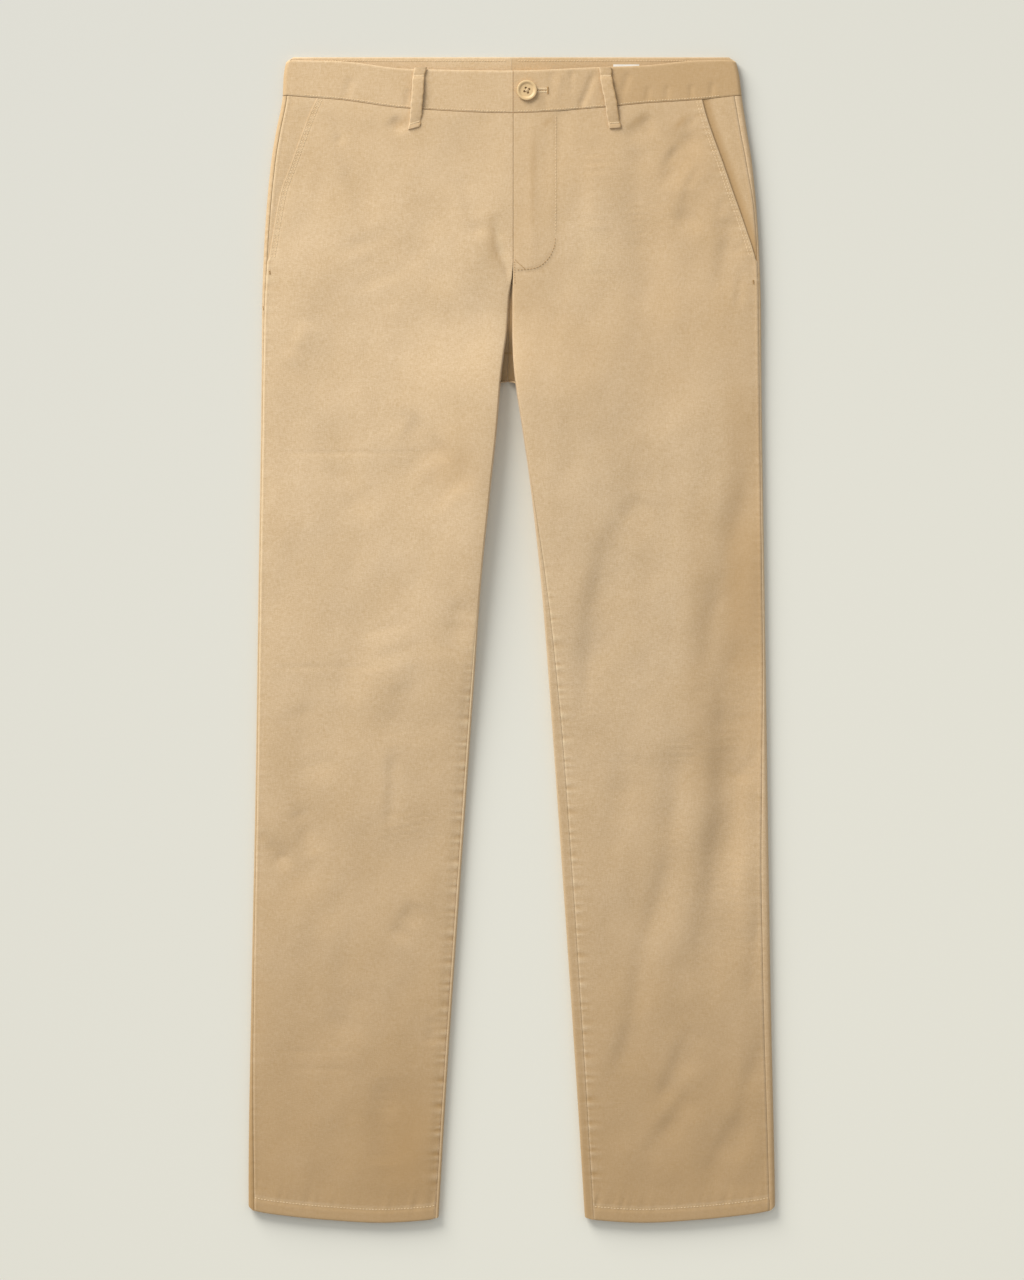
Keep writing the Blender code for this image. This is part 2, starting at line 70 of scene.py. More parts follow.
outline = {  # the outer edges
    "drop": (0, .0038, .0188, .0369, .0724, .0959, .1429, .1899, .2369, .3074, .4954, .6834, .8714, 1.0594, 1.078),
    "left": (.2090, .2113, .2141, .2150, .2216, .2254, .2301, .2329, .2343, .2348, .2376, .2404, .2442, .2470, .2470),
    "right": (.2078, .2099, .2136, .2158, .2211, .2249, .2296, .2324, .2338, .2343, .2371, .2399, .2428, .2468, .2470),
}

innerEdge = {  # of the legs, and the seam between the two backs
    "drop": (.0369, .19, .205, .2265, .2576, .2792, .3046, .3487, .4014, .4954, .5894, .7774, .9654, 1.078),
    "left": (
        .0012, .0012, .0001, -.0026, -.0045, -.0073, -.0103, -.0139, -.0195, -.0289, -.0355, -.0486, -.0618, -.0686,
    ),
    "right": (.0015, .0015, .0012, .0005, .0004, .0010, .0031, .0097, .0172, .0275, .0350, .0482, .0613, .0684),
    "seat": (0, 0, -.0004, -.0014, -.0028, -.0036, -.0037, -.0037, -.0037, -.0037, -.0037, -.0037, -.0037, -.0037),
}

seamInset = {  # how far each seam lies inside its edge
    "drop": (.0369, .0959, .1429, .1899, .2400, .3400, .4200, .4800, .5600, .6600, .7800, .9000, 1.078),
    "sideleft": (.0042, .0042, .0040, .0036, .0024, .0014, .0014, .0014, .0014, .0015, .0018, .0025, .0056),
    "sideright": (.0072, .0057, .0026, .0020, .0023, .0020, .0022, .0024, .0027, .0050, .0073, .0070, .0056),
    "innerleft": (.0008, .0008, .0008, .0008, .0008, .0008, .0009, .0012, .0025, .0030, .0030, .0030, .0032),
    "innerright": (.0008, .0008, .0008, .0008, .0008, .0008, .0020, .0042, .0070, .0090, .0092, .0088, .0085),
}

pocket = {
    "drop": (.0369, .0530, .1015, .1278, .1570, .1890, .2100),
    "left": (.1828, .1900, .2075, .2169, .2225, .2278, .2320),
    "right": (.1785, .1826, .1990, .2078, .2180, .2282, .2320),
    "end": 0.192,
    "sideEnd": 0.214,
    "tuck": 11 * mm,
    "under": {"left": 0.45 * mm, "right": 1.2 * mm},  # the side piece passes this far under the front's face
    "lip": {"left": 0.05 * mm, "right": 0.55 * mm},  # the folded mouth stands up by this
    "lipWide": 6 * mm,
    "tacks": {  # x, drop and height over the cloth
        "left": ((-0.2268, 0.2027, 0.15 * mm), (-0.2329, 0.2359, 0.5 * mm)),
        "right": ((0.2265, 0.2115, 0.15 * mm),),
    },
    "stitchIn": (2.6 * mm, 5.4 * mm),
}

waist = {  # top edge and seam of the waistband's front
    "x": (-.2110, -.1630, -.0975, -.0010, .0850, .1230, .1740, .2110),
    "top": (.0034, .0044, .0116, .0132, .0098, .0085, .0038, .0030),
    "seam": (.0369, .0406, .0489, .0531, .0480, .0442, .0408, .0369),
}

hemLine = {  # from the outer to the inner edge of a leg
    "across": (0, .03, .20, .40, .69, .95, 1),
    "drop": (1.0780, 1.0822, 1.0870, 1.0906, 1.0935, 1.0908, 1.0884),
}

lie = {  # height of the front over two walls, beside its edges and between them
    "drop": (.0369, .15, .205, .23, .29, .334, .5, .9, 1.078),
    "side": (.0026, .0026, .0026, .0025, .0021, .0019, .0018, .0016, .0013),
    "crown": (.0028, .0033, .0034, .0034, .0034, .0034, .0032, .0029, .0018),
    "inner": (.0026, .0027, .0022, .0014, .0011, .0018, .0020, .0018, .0013),
}

roll = {
    "drop": (.0369, .3046, .3062, .3080, .3100, 1.078),
    "turn": (0, 0, 80, 150, 180, 180),  # degrees that the back's inner edge is rolled up
}


def follow(table, name, at):  # reads a column anywhere, on a smooth curve with no extra wiggle
    keys, values = np.array(next(iter(table.values())), float), np.array(table[name], float)
    steps = np.diff(keys)
    rises = np.diff(values) / steps
    product = rises[:-1] * rises[1:]
    total = np.where(product > 0, rises[:-1] + rises[1:], 1.0)
    slopes = np.concatenate([rises[:1], np.where(product > 0, 2 * product / total, 0.0), rises[-1:]])
    at = np.clip(np.asarray(at, float), keys[0], keys[-1])
    i = np.clip(np.searchsorted(keys, at) - 1, 0, len(steps) - 1)
    t = (at - keys[i]) / steps[i]
    return (
        values[i] * (1 + 2 * t) * (1 - t) ** 2
        + values[i + 1] * t**2 * (3 - 2 * t)
        + steps[i] * t * (1 - t) * (slopes[i] * (1 - t) - slopes[i + 1] * t)
    )


def ease(value, start, end):
    t = np.clip((value - start) / (end - start), 0.0, 1.0)
    return t * t * (3 - 2 * t)


def between(value, a, b, c, d):  # rises from a to b and falls from c to d
    return ease(value, a, b) * (1 - ease(value, c, d))


def hump(value, middle, width):
    return np.exp(-(((value - middle) / width) ** 2))


def yAt(drop):
    return laid["length"] / 2 - drop


def world(x, drop, z):
    x, drop, z = np.broadcast_arrays(x, drop, z)
    return np.stack([x, yAt(drop), z], axis=-1)


def rumple(x, drop, size, seed):  # soft uneven noise, about -1 to 1
    x, drop = np.broadcast_arrays(x, drop)
    flat = zip(x.ravel() / size, drop.ravel() / size)
    return np.array([noise.noise((a, b, seed)) for a, b in flat]).reshape(x.shape)


def pucker(at, pitch, seed):  # ripples whose spacing and height wander
    wander = 1.5 * np.sin(at / (pitch * 0.59) + seed) + 1.1 * np.sin(at / (pitch * 1.45) + 2.3 * seed)
    height = 0.62 + 0.38 * np.sin(at / (pitch * 0.41) + 3.1 * seed)
    return np.sin(2 * math.pi * at / pitch + wander) * height


# ---- folds of the front, in millimetres

folds = {
    "lean": 0.7,  # the trough or crest lies this many widths past the line of its shaded side
    "away": (0.57, 0.82),  # x and drop of the way the light goes
    "steep": (0.78, 1.30),  # widths of the near and the far side
    "steps": 16,  # of a path between two of its points
    "rows": (
        # width, height, then x and drop of the points along the shaded side
        (8, -0.9, -178, 47, -152, 129, -101, 193, -61, 232),
        (13, -0.5, -160, 170, -138, 225),
        (7, -0.7, -58, 112, -42, 151, -36, 177),
        (4.5, -1.0, -20, 146, -16, 177, -4, 209),
        (4, -0.8, -108, 54, -97, 68),
        (7, 0.6, -195, 244, -217, 290),
        (2.5, -0.7, -10, 190, -5, 212, -2, 224),
        (14, -0.8, -98, 352, -62, 378, -36, 404),
        (9, -0.8, -195, 338, -175, 384, -155, 419, -142, 448),
        (8, -1.2, -130, 333, -94, 334, -74, 354, -55, 374, -29, 403),
        (10, -0.8, -52, 500, -60, 530, -72, 560),
        (11, -0.4, -95, 560, -108, 596, -134, 632),
        (12, 0.6, -137, 540, -130, 565, -117, 600),
        (4.5, -0.55, -116, 645, -117, 685, -119, 725),
        (22, 0.9, -160, 560, -140, 660, -120, 760),
        (5, -0.8, -230, 722, -204, 759),
        (6, -0.7, -211, 700, -191, 752),
        (11, -0.8, -238, 740, -205, 780, -180, 830),
        (7, -0.7, -94, 788, -117, 827),
        (9, -0.6, -130, 955, -130, 1041),
        (5, -0.5, -78, 899, -81, 928),
        (12, -0.6, -215, 610, -190, 690),
        (11, -0.5, -150, 860, -175, 930),
        (14, -1.0, 98, 110, 112, 190, 111, 250, 98, 310),
        (9, 0.6, 68, 86, 68, 227),
        (6, -0.7, 131, 52, 102, 72),
        (8, -0.9, 172, 60, 150, 88, 136, 125),
        (8, -0.8, 180, 105, 160, 135, 150, 170),
        (14, -0.8, 118, 60, 108, 110, 104, 190),
        (7, -0.9, 197, 143, 195, 174, 186, 224),
        (9, -0.7, 117, 404, 85, 450),
        (10, -1.1, 84, 440, 68, 523, 57, 630),
        (15, -2.1, 222, 320, 213, 390, 196, 455, 179, 515, 170, 570, 166, 640),
        (11, -0.7, 214, 535, 190, 594, 189, 650),
        (24, -2.3, 214, 480, 200, 580, 190, 680, 184, 770, 170, 880),
        (12, -1.7, 182, 540, 187, 610, 187, 660, 186, 700, 181, 745, 175, 792, 164, 838, 154, 890),
        (13, -1.1, 150, 620, 141, 720, 124, 820),
        (12, 0.5, 160, 636, 156, 710, 151, 770, 140, 845),
        (9, 0.9, 213, 640, 212, 740, 212, 834),
        (9, -1.0, 148, 730, 117, 830, 103, 911, 80, 972),
        (8, -0.9, 163, 902, 146, 947, 129, 988),
        (8, -0.9, 167, 955, 146, 992, 118, 1030),
        (8, -0.7, 208, 984, 192, 1018, 172, 1050),
        (6, -0.8, 231, 782, 217, 888),
        (8, -0.9, 231, 917, 213, 973, 204, 1039),
        (6, -0.7, 231, 643, 206, 677),
        (2.0, -0.5, 213, 196, 211, 215, 209, 240),
        (2.4, -0.3, 173, 53, 166, 60, 158, 69),
        (2.4, -0.35, 155, 80, 148, 91, 139, 104),
        (2.6, -0.35, 176, 98, 163, 120, 158, 140),
        (2.6, -0.3, 198, 126, 191, 152, 193, 175),
        (2.2, -0.3, 219, 168, 213, 176, 206, 185),
        (2.2, -0.3, -206, 54, -195, 51, -183, 48),
        (2.4, -0.3, -176, 56, -164, 72, -168, 85),
        (12, -0.5, 100, 640, 88, 720),
        (1.2, -0.16, -227, 370, -68, 370),  # pressed lines from the fold in its packing
        (1.2, -0.14, -236, 571, -110, 571),
        (1.4, -0.12, -217, 931, -143, 931),
        (1.4, -0.12, -217, 947, -143, 948),
    ),
    "tones": (  # painted shade along creases too fine for the light to show, and one painted highlight: width, wear and shading tone, then x and drop of the points
        (2.4, -0.6, -20, 138, -19, 160, -16, 182, -9, 198, -1, 213),
        (2.6, 0.3, -14, 146, -13, 166, -10, 182, -4, 197),
        (2.4, -0.3, -24, 158, -22, 178, -17, 196, -10, 212),
        (2.8, -0.6, -112, 65, -103, 62, -92, 51),
        (2.4, -0.5, 27, 66, 33, 62, 42, 56),
        (2.4, -0.4, 20.5, 60, 20, 92, 19.5, 128, 18.5, 168),
        (2.8, -0.5, 150, 72, 158, 62, 167, 53),
        (3.0, -0.45, 130, 52, 119, 60, 107, 68),
        (2.8, -0.4, -212, 62, -196, 58, -178, 47),
    ),
}


def curve(points):  # a smooth path through x, drop, x, drop and so on in millimetres, given in metres
    p = np.reshape(points, (-1, 2)) * mm
    p = np.concatenate([p[:1], p, p[-1:]])
    t = np.linspace(0, 1, folds["steps"], endpoint=False)[:, None]
    spans = [
        0.5 * (2 * b + (c - a) * t + (2 * a - 5 * b + 4 * c - d) * t**2 + (3 * b - a - 3 * c + d) * t**3)
        for a, b, c, d in zip(p, p[1:], p[2:], p[3:])
    ]
    return np.concatenate([*spans, p[-1:]])


def besidePath(path, x, drop, near):  # how far along (0 to 1) and beside a path points are
    low, high = path.min(axis=0) - near, path.max(axis=0) + near
    pick = (x > low[0]) & (x < high[0]) & (drop > low[1]) & (drop < high[1])
    spots = np.stack([x[pick], drop[pick]], axis=-1)
    if not len(spots):
        return pick, spots[:, 0], spots[:, 0]
    nearest = ((spots[:, None] - path[None]) ** 2).sum(axis=2).argmin(axis=1)
    ahead = np.gradient(path, axis=0)
    ahead /= np.linalg.norm(ahead, axis=1)[:, None]
    offset = spots - path[nearest]
    along = nearest / (len(path) - 1)
    normal = np.stack([ahead[:, 1], -ahead[:, 0]], axis=-1)
    return pick, along, (offset * normal[nearest]).sum(axis=1)


def foldHeight(x, drop):
    total = np.zeros(x.shape)
    for number, (wide, high, *points) in enumerate(folds["rows"]):
        path, wide = curve(points), wide * front["foldWide"] * mm
        pick, along, beside = besidePath(path, x, drop, 4 * wide)
        if not pick.any():
            continue
        run = path[-1] - path[0]
        turned = np.sign(run[1] * folds["away"][0] - run[0] * folds["away"][1]) or 1.0
        beside = beside * turned - folds["lean"] * wide
        width = np.where(beside < 0, folds["steep"][0], folds["steep"][1]) * wide
        uneven = 1 + 0.22 * np.sin(along * 9 + number) + 0.12 * np.sin(along * 23 + 2 * number)
        ends = between(along, 0.0, 0.34, 0.66, 1.0)
        total[pick] += high * mm * ends * uneven * np.exp(-((beside / width) ** 2))
    return total


# painted shade along the fine creases, and one painted highlight
def paintedCreaseShading(x, drop):
    total = np.zeros(x.shape)
    for wide, tone, *points in folds["tones"]:
        pick, along, beside = besidePath(curve(points), x, drop, 4 * wide * mm)
        total[pick] += tone * between(along, 0, 0.4, 0.6, 1) * hump(beside, 0, wide * mm)
    return total


# ---- the front's surface

front = {
    "rows": 470,
    "middleCols": 60,
    "closeCols": (0, 0.35, 0.8, 1.3, 1.9, 2.6, 3.4, 4.4, 5.6, 7.0, 8.6),  # in mm from an edge, where seams need them
    "folds": 1.75,  # all heights of folds are multiplied by this
    "foldWide": 1.45,  # and all widths by this
    "undulation": ((55, 1.6), (24, 0.5), (10, 0.13), (4.5, 0.05)),  # size and height in mm
    "seamDip": (0.34 * mm, 0.52 * mm),  # depth and width of the groove at a seam
    "seamRidge": (0.22 * mm, 1.9 * mm, 1.0 * mm),  # height, distance and width of the ridge by it
    "puckerReach": 7 * mm,
    "puckers": {  # pitch along each seam, and the seeds
        "inner": (8.8 * mm, {"left": 1.7, "right": 4.1}),
        "side": (9.4 * mm, {"left": 2.9, "right": 5.3}),
    },
    "inseamPuckers": {"left": 0.50, "right": 0.42},  # drop where they begin
    "inseamShows": {"left": (0.50, 0.57), "right": (0.42, 0.48)},  # drop where the seam comes up over the edge
    "fullRipple": 0.30 * mm,  # a ripple this high gets the full tone, pale on its crest and dark in its hollow: partly rubbed wear, partly painted light and shade
    "lift": 10.5 * mm,  # the inner legs stand up by this below the fork
    "liftReach": 75 * mm,
    "liftAlong": (0.236, 0.325, 0.40, 0.72),
    "openEdge": (0.206, 0.235),  # drop where the inner edge turns from a lap into a rounded edge
    "wearAndShadingRange": (-1.6, 1),
    "edgeWide": 1.5 * mm,  # a leg's inner edge is rounded over no more than this
    "topDip": 0.06 * mm,
    "shelf": (0.75 * mm, 9 * mm),  # fall of the left leg over its seam allowance, and its width
    "forkRadius": 2.4 * mm,  # of the right front's edge above the fork
    "forkOpens": (0.298, 0.306),  # drop where that radius grows to the leg's own
    "hemSwell": 0.4 * mm,
    "hemGroove": 0.35 * mm,
    "hemRipple": (9.5 * mm, 0.65 * mm),  # pitch and height of the puckers along the hem
    "hemGroups": (  # where they stand higher: x, width and share
        (-0.216, 0.016, 0.65), (-0.181, 0.012, 0.65), (-0.095, 0.022, 0.8), (0.10, 0.03, 0.7), (0.20, 0.03, 0.5),
    ),
    "turnRadius": 1.1 * mm,  # of the fold at the hem
}

fly = {
    "curve": (41.4, 50, 41.2, 100, 40.7, 168, 38.2, 182, 32.1, 191.8, 22, 198.4, 3.9, 200.2),
    "raise": 0.6 * mm,
    "groove": 0.14 * mm,
    "facing": (41 * mm, 200 * mm),  # it reaches this far from the middle and down
    "zip": (19.3 * mm, 4 * mm, 0.32 * mm),  # place, width and height of the soft ridge over the chain
    "zipAlong": (0.055, 0.07, 0.185, 0.197),
}
flyPath = curve(fly["curve"])


def legEdges(side, nominal):
    outer = follow(outline, side, nominal)
    inner = signOf[side] * follow(innerEdge, side, nominal)
    sideSeam = outer - follow(seamInset, "side" + side, nominal)
    inset = follow(seamInset, "inner" + side, nominal)
    inset = inset * ease(nominal, laid["forkEnd"] - 1 * mm, laid["forkEnd"] + 3 * mm)
    return outer, sideSeam, inner + inset, inner


def edgeRadius(side, place, nominal):  # half the height of the rounded edge of a leg
    lift = forkLift(side, legEdges(side, nominal)[3], nominal) if place == "inner" else 0.0
    return laid["wall"] + (follow(lie, place, nominal) + lift) / 2


def roundOff(distance, radius):  # how far a round edge lies below its crest
    reach = np.clip(radius - distance, 0, radius)
    return radius - np.sqrt(radius**2 - reach**2)


def frontEdges(side, nominal):
    sideSeam, inseam = legEdges(side, nominal)[1:3]
    mouth = np.minimum(follow(pocket, side, nominal), sideSeam)
    edge = np.where(nominal < pocket["end"], mouth, sideSeam) - halfGap
    return edge, inseam + halfGap * ease(nominal, laid["forkEnd"], laid["legStart"])


def settle(side, out, nominal):  # rows follow the waist seam at their top and the hem at their end
    seam = follow(waist, "seam", signOf[side] * out)
    hemSide, _, _, hemInner = legEdges(side, laid["hem"])
    across = np.clip((hemSide - out) / (hemSide - hemInner), 0.0, 1.0)
    upper = (1 - ease(nominal, laid["seamTop"], laid["flyEnd"])) * (seam - laid["seamTop"])
    lower = ease(nominal, 0.75, laid["hem"]) * (follow(hemLine, "drop", across) - laid["hem"])
    return nominal + upper + lower


def forkLift(side, out, nominal):
    inner = legEdges(side, nominal)[3]
    near = hump(np.maximum(out - inner, 0), 0, front["liftReach"])
    return front["lift"] * between(nominal, *front["liftAlong"]) * near


def seamPucker(side, place, drop):  # height of the ripples right beside a seam
    pitch, seeds = front["puckers"][place]
    if place == "inner":
        start = front["inseamPuckers"][side]
        high = 0.42 * mm * between(drop, start, start + 0.14, 1.05, 1.075)
    else:  # most beside the end of the left pocket
        high = 0.10 * mm + 0.24 * mm * hump(drop, 0.19, 0.06) * (side == "left")
    return high * pucker(drop, pitch, seeds[side])


def seamShows(side, nominal):  # 0 where the inseam is under the leg's edge, 1 where it is on top
    return ease(nominal, *front["inseamShows"][side])


def mouthShare(nominal):  # 1 beside the pocket mouth, 0 beside the side seam below it
    return 1 - ease(nominal, pocket["end"] - 6 * mm, pocket["end"])


def ripples(side, fromSide, fromInner, nominal, drop):
    reach, atMouth = front["puckerReach"], mouthShare(nominal)
    z = seamPucker(side, "inner", drop) * np.exp(-((fromInner / reach) ** 1.5))
    z = z + seamPucker(side, "side", drop) * (1 - atMouth) * np.exp(-fromSide / reach)
    beside = hump(fromSide, 4.5 * mm, 5 * mm) * (0.6 if side == "left" else 1.0)
    return z + atMouth * 0.20 * mm * pucker(drop, 7.2 * mm, 8.0 + signOf[side]) * beside


def frontHeight(side, out, nominal):
    sign, wall = signOf[side], laid["wall"]
    out, nominal = np.broadcast_arrays(np.asarray(out, float), np.asarray(nominal, float))
    edge, inseam = frontEdges(side, nominal)
    outer, _, _, inner = legEdges(side, nominal)
    drop = settle(side, out, nominal)
    x = sign * out
    fromSide, fromInner = np.maximum(edge - out, 0), np.maximum(out - inseam, 0)
    crown = follow(lie, "crown", nominal)
    nearSide, nearInner = np.exp(-fromSide / laid["edgeFall"]), np.exp(-fromInner / laid["edgeFall"])
    z = 2 * wall + crown - (crown - follow(lie, "side", nominal)) * nearSide
    z = z - (crown - follow(lie, "inner", nominal)) * nearInner + forkLift(side, out, nominal)
    z = z - roundOff(outer - out, edgeRadius(side, "side", nominal))
    curl = edgeRadius(side, "inner", nominal)
    if side == "right":
        curl = front["forkRadius"] + (curl - front["forkRadius"]) * ease(nominal, *front["forkOpens"])
    squash = np.minimum(1, front["edgeWide"] / curl)
    z = z - roundOff(np.maximum(out - inner, 0) / squash, curl) * ease(nominal, *front["openEdge"])
    below = ease(drop, laid["seamTop"], 0.060) * (1 - 0.7 * ease(drop, 1.055, 1.075))
    free = np.clip(1 - 0.8 * nearSide - 0.8 * nearInner, 0, 1) * below
    z = z + foldHeight(x, drop) * front["folds"] * free
    for number, (size, high) in enumerate(front["undulation"]):
        z = z + rumple(x, drop * 0.7, size * mm, 3.7 * number + sign) * high * mm * free

    dip, dipWide = front["seamDip"]
    ridge, ridgeAt, ridgeWide = front["seamRidge"]
    atMouth = mouthShare(nominal)
    inLeg = seamShows(side, nominal)
    for distance, share in ((fromSide, 1 - atMouth), (fromInner, 0.45 * inLeg)):
        z = z - dip * share * hump(distance, 0, dipWide) + ridge * share * hump(distance, ridgeAt, ridgeWide)
    lipDrop = np.clip(1 - fromSide / (1.0 * mm), 0, 1) ** 2 * pocket["under"][side] / 3
    z = z + atMouth * (pocket["lip"][side] * hump(fromSide, 0, pocket["lipWide"]) - lipDrop)
    for gap in pocket["stitchIn"]:
        z = z - atMouth * 0.26 * mm * hump(fromSide, gap, 0.8 * mm)
    z = z + ripples(side, fromSide, fromInner, nominal, drop)
    if side == "left":
        fall, fallWide = front["shelf"]
        z = z - fall * inLeg * ease(drop, 0.52, 0.62) * np.clip(1 - fromInner / fallWide, 0, 1)

    z = z + flyHeight(side, x, drop, out - inseam, nominal)
    z = z + hemHeight(x, nominal)
    z = z - front["topDip"] * hump(nominal, laid["seamTop"], 1.4 * mm)  # the top edge goes in under the waistband
    return drop, z


def flyHeight(side, x, drop, fromInner, nominal):
    z = np.zeros(x.shape)
    if side == "right":
        pick, _, beside = besidePath(flyPath, x, drop, 12 * mm)
        inside = (x < fly["facing"][0]) & (drop < fly["facing"][1])
        z = z + fly["raise"] * (inside & ~pick)
        z[pick] += fly["raise"] * ease(-beside, -1.6 * mm, 0.8 * mm) - fly["groove"] * hump(beside, 0, 0.9 * mm)
        place, wide, high = fly["zip"]
        z = z + high * hump(x, place, wide) * between(drop, *fly["zipAlong"])
    rounded = np.clip(1 - fromInner / (0.8 * mm), 0, 1) ** 2 * 0.12 * mm
    return z - rounded * (1 - ease(nominal, *front["openEdge"]))


def hemHeight(x, nominal):
    seam = laid["hem"] - laid["hemHeight"]
    above = np.exp(-np.maximum(seam - nominal, 0) / (9 * mm)) * (nominal > seam - 60 * mm)
    below = np.exp(-np.maximum(nominal - seam, 0) / (6 * mm))
    groups = 0.35 + sum(share * hump(x, at, wide) for at, wide, share in front["hemGroups"])
    pitch, high = front["hemRipple"]
    ripple = pucker(x + 0.25 * (nominal - seam), pitch, 6.2) * high * groups
    z = ripple * np.where(nominal < seam, above, 0.5 * below) * ease(nominal, seam - 60 * mm, seam - 5 * mm)
    z = z + front["hemSwell"] * ease(nominal, seam - 1 * mm, seam + 2 * mm)
    return z - front["hemGroove"] * hump(nominal, seam, 1.1 * mm)


def onFront(side, x, drop):  # world points on the front at given x and drop
    out, nominal = signOf[side] * x, np.array(drop, float)
    for _ in range(5):
        nominal = nominal - (settle(side, out, nominal) - drop)
    return world(x, drop, frontHeight(side, out, nominal)[1])


# ---- making cloth: a grid moved to its points, given a thickness and smoothed


def selectOnly(piece=None):
    bpy.ops.object.select_all(action="DESELECT")
    if piece:
        piece.select_set(True)
        bpy.context.view_layer.objects.active = piece


def setMode(mode):
    bpy.ops.object.mode_set(mode=mode)


def gridPiece(name, points, wear):
    rows, cols = points.shape[:2]
    selectOnly()
    bpy.ops.mesh.primitive_grid_add(x_subdivisions=cols - 1, y_subdivisions=rows - 1, size=2)
    piece = bpy.context.object
    piece.name = piece.data.name = name
    flat = np.empty(len(piece.data.vertices) * 3)
    piece.data.vertices.foreach_get("co", flat)
    flat = flat.reshape(-1, 3)
    col, row = (np.rint((flat[:, i] + 1) / 2 * (count - 1)).astype(int) for i, count in ((0, cols), (1, rows)))
    piece.data.vertices.foreach_set("co", points[row, col].ravel())
    if wear is not None:
        wear = np.broadcast_to(wear, (rows, cols))
        layer = piece.data.attributes.new("wear", "FLOAT", "POINT")
        layer.data.foreach_set("value", wear[row, col].astype(np.float32))
    piece.data.update()
    return piece


def applyAll(piece):
    selectOnly(piece)
    for modifier in list(piece.modifiers):
        bpy.ops.object.modifier_apply(modifier=modifier.name)


def smoothOff(piece, degrees=48):
    selectOnly(piece)
    bpy.ops.object.shade_smooth_by_angle(angle=math.radians(degrees))


def sheetPiece(name, points, wear=None, up=True, thick=laid["cloth"]):  # a sheet with its face up, or down
    piece = gridPiece(name, points, wear)
    normals = np.empty(len(piece.data.polygons) * 3)
    piece.data.polygons.foreach_get("normal", normals)
    if (normals.reshape(-1, 3)[:, 2].sum() > 0) != up:
        piece.data.flip_normals()
    wall = piece.modifiers.new("Cloth", "SOLIDIFY")
    wall.thickness = thick
    wall.offset = -1
    applyAll(piece)
    smoothOff(piece)
    return piece


def faceOut(piece, weld=False):  # turns all faces outwards; a strip is first welded along its side and closed
    selectOnly(piece)
    setMode("EDIT")
    bpy.ops.mesh.select_all(action="SELECT")
    if weld:
        bpy.ops.mesh.remove_doubles(threshold=1e-6)
        bpy.ops.mesh.fill_holes(sides=0)
        bpy.ops.mesh.select_all(action="SELECT")
    bpy.ops.mesh.normals_make_consistent(inside=False)
    setMode("OBJECT")


def tubePiece(name, rings, wear):  # a closed strip: rings of points, first to last
    once = lambda ring: np.concatenate([ring, ring[:, :1]], axis=1)
    piece = gridPiece(name, once(np.array(rings)), once(np.atleast_2d(wear)))
    faceOut(piece, weld=True)
    smoothOff(piece)
    return piece


def dress(piece, node, material):
    piece.data.materials.clear()
    piece.data.materials.append(material)
    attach(piece, "root")
    if node:
        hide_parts(node)


# ---- materials


def toLinear(hexColour):
    parts = [int(hexColour[i : i + 2], 16) / 255 for i in (1, 3, 5)]
    return (*[c / 12.92 if c <= 0.04045 else ((c + 0.055) / 1.055) ** 2.4 for c in parts], 1.0)


def connect(node, links):
    for key, (source, output) in links.items():
        node.id_data.links.new(source.outputs[output], node.inputs[key])


def newMaterial(name, settings):  # a material, its shader, and the function that adds a node to it
    material = bpy.data.materials.new(name)
    material.use_nodes = True
    nodes = material.node_tree.nodes
    shader = nodes["Principled BSDF"]
    for key, value in settings.items():
        shader.inputs[key].default_value = value

    def add(kind, settings={}, links={}):
        node = nodes.new("ShaderNode" + kind)
        for key, value in settings.items():
            if isinstance(key, str) and hasattr(node, key):
                setattr(node, key, value)
            else:
                node.inputs[key].default_value = value
        connect(node, links)
        return node

    return material, shader, add


twill = {
    "pale": "#D8BF9D",
    "deep": "#C2A67F",
    "wearAndLighting": "#E9D5B0",  # rubbed pale along the seams; painted highlight on the crests of puckers, beside a crease and on lamp-side edges
    "shadeAndDeepTone": "#AC8A5C",  # painted shade in grooves, in the fork's well, beside folds and pocket mouths and toward the hems; also the darker waistband and loops
    "angle": 58,  # degrees that the twill lines lean
    "lines": 1.5 * mm,  # real twill lines are 0.6 mm apart, too fine to show, so they are drawn coarser
    "slub": 0.85 * mm,
    "long": 4.5,  # a slub is this many times longer than wide
    "cloud": 45 * mm,
}


def paintedShadeAndLight(side, out, drop):  # painted shade: darker at the waist and down the legs, most near the hems where the lamp's light falls off, in patches beside folds and down the right leg's outer side; one patch on the right front is painted lighter
    tone = -0.5 * ease(drop, 0.46, 0.96) - 0.5 * ease(drop, 0.80, 1.09)
    if side == "left":
        tone = tone - 0.22 * (1 - ease(drop, 0.05, 0.18)) - 0.35 * hump(out, 0.098, 0.035) * hump(drop, 1.02, 0.06)
        return tone - 0.5 * hump(out, 0.056, 0.026) * hump(drop, 0.386, 0.028)
    tone = tone - 0.38 * (1 - ease(drop, 0.22, 0.42)) - 0.3 * hump(out, 0.170, 0.035) * hump(drop, 0.09, 0.05)
    tone = tone - 0.4 * ease(out, 0.150, 0.180) * between(drop, 0.38, 0.48, 0.62, 0.76)
    tone = tone + 0.5 * hump(out, 0.074, 0.034) * hump(drop, 0.183, 0.055)
    return tone - 0.5 * ease(out, 0.190, 0.212) * between(drop, 0.24, 0.40, 0.50, 0.62)


def bandScale(spacing):  # the wave texture's scale for lines this far apart
    return 2 * math.pi / 20 / spacing


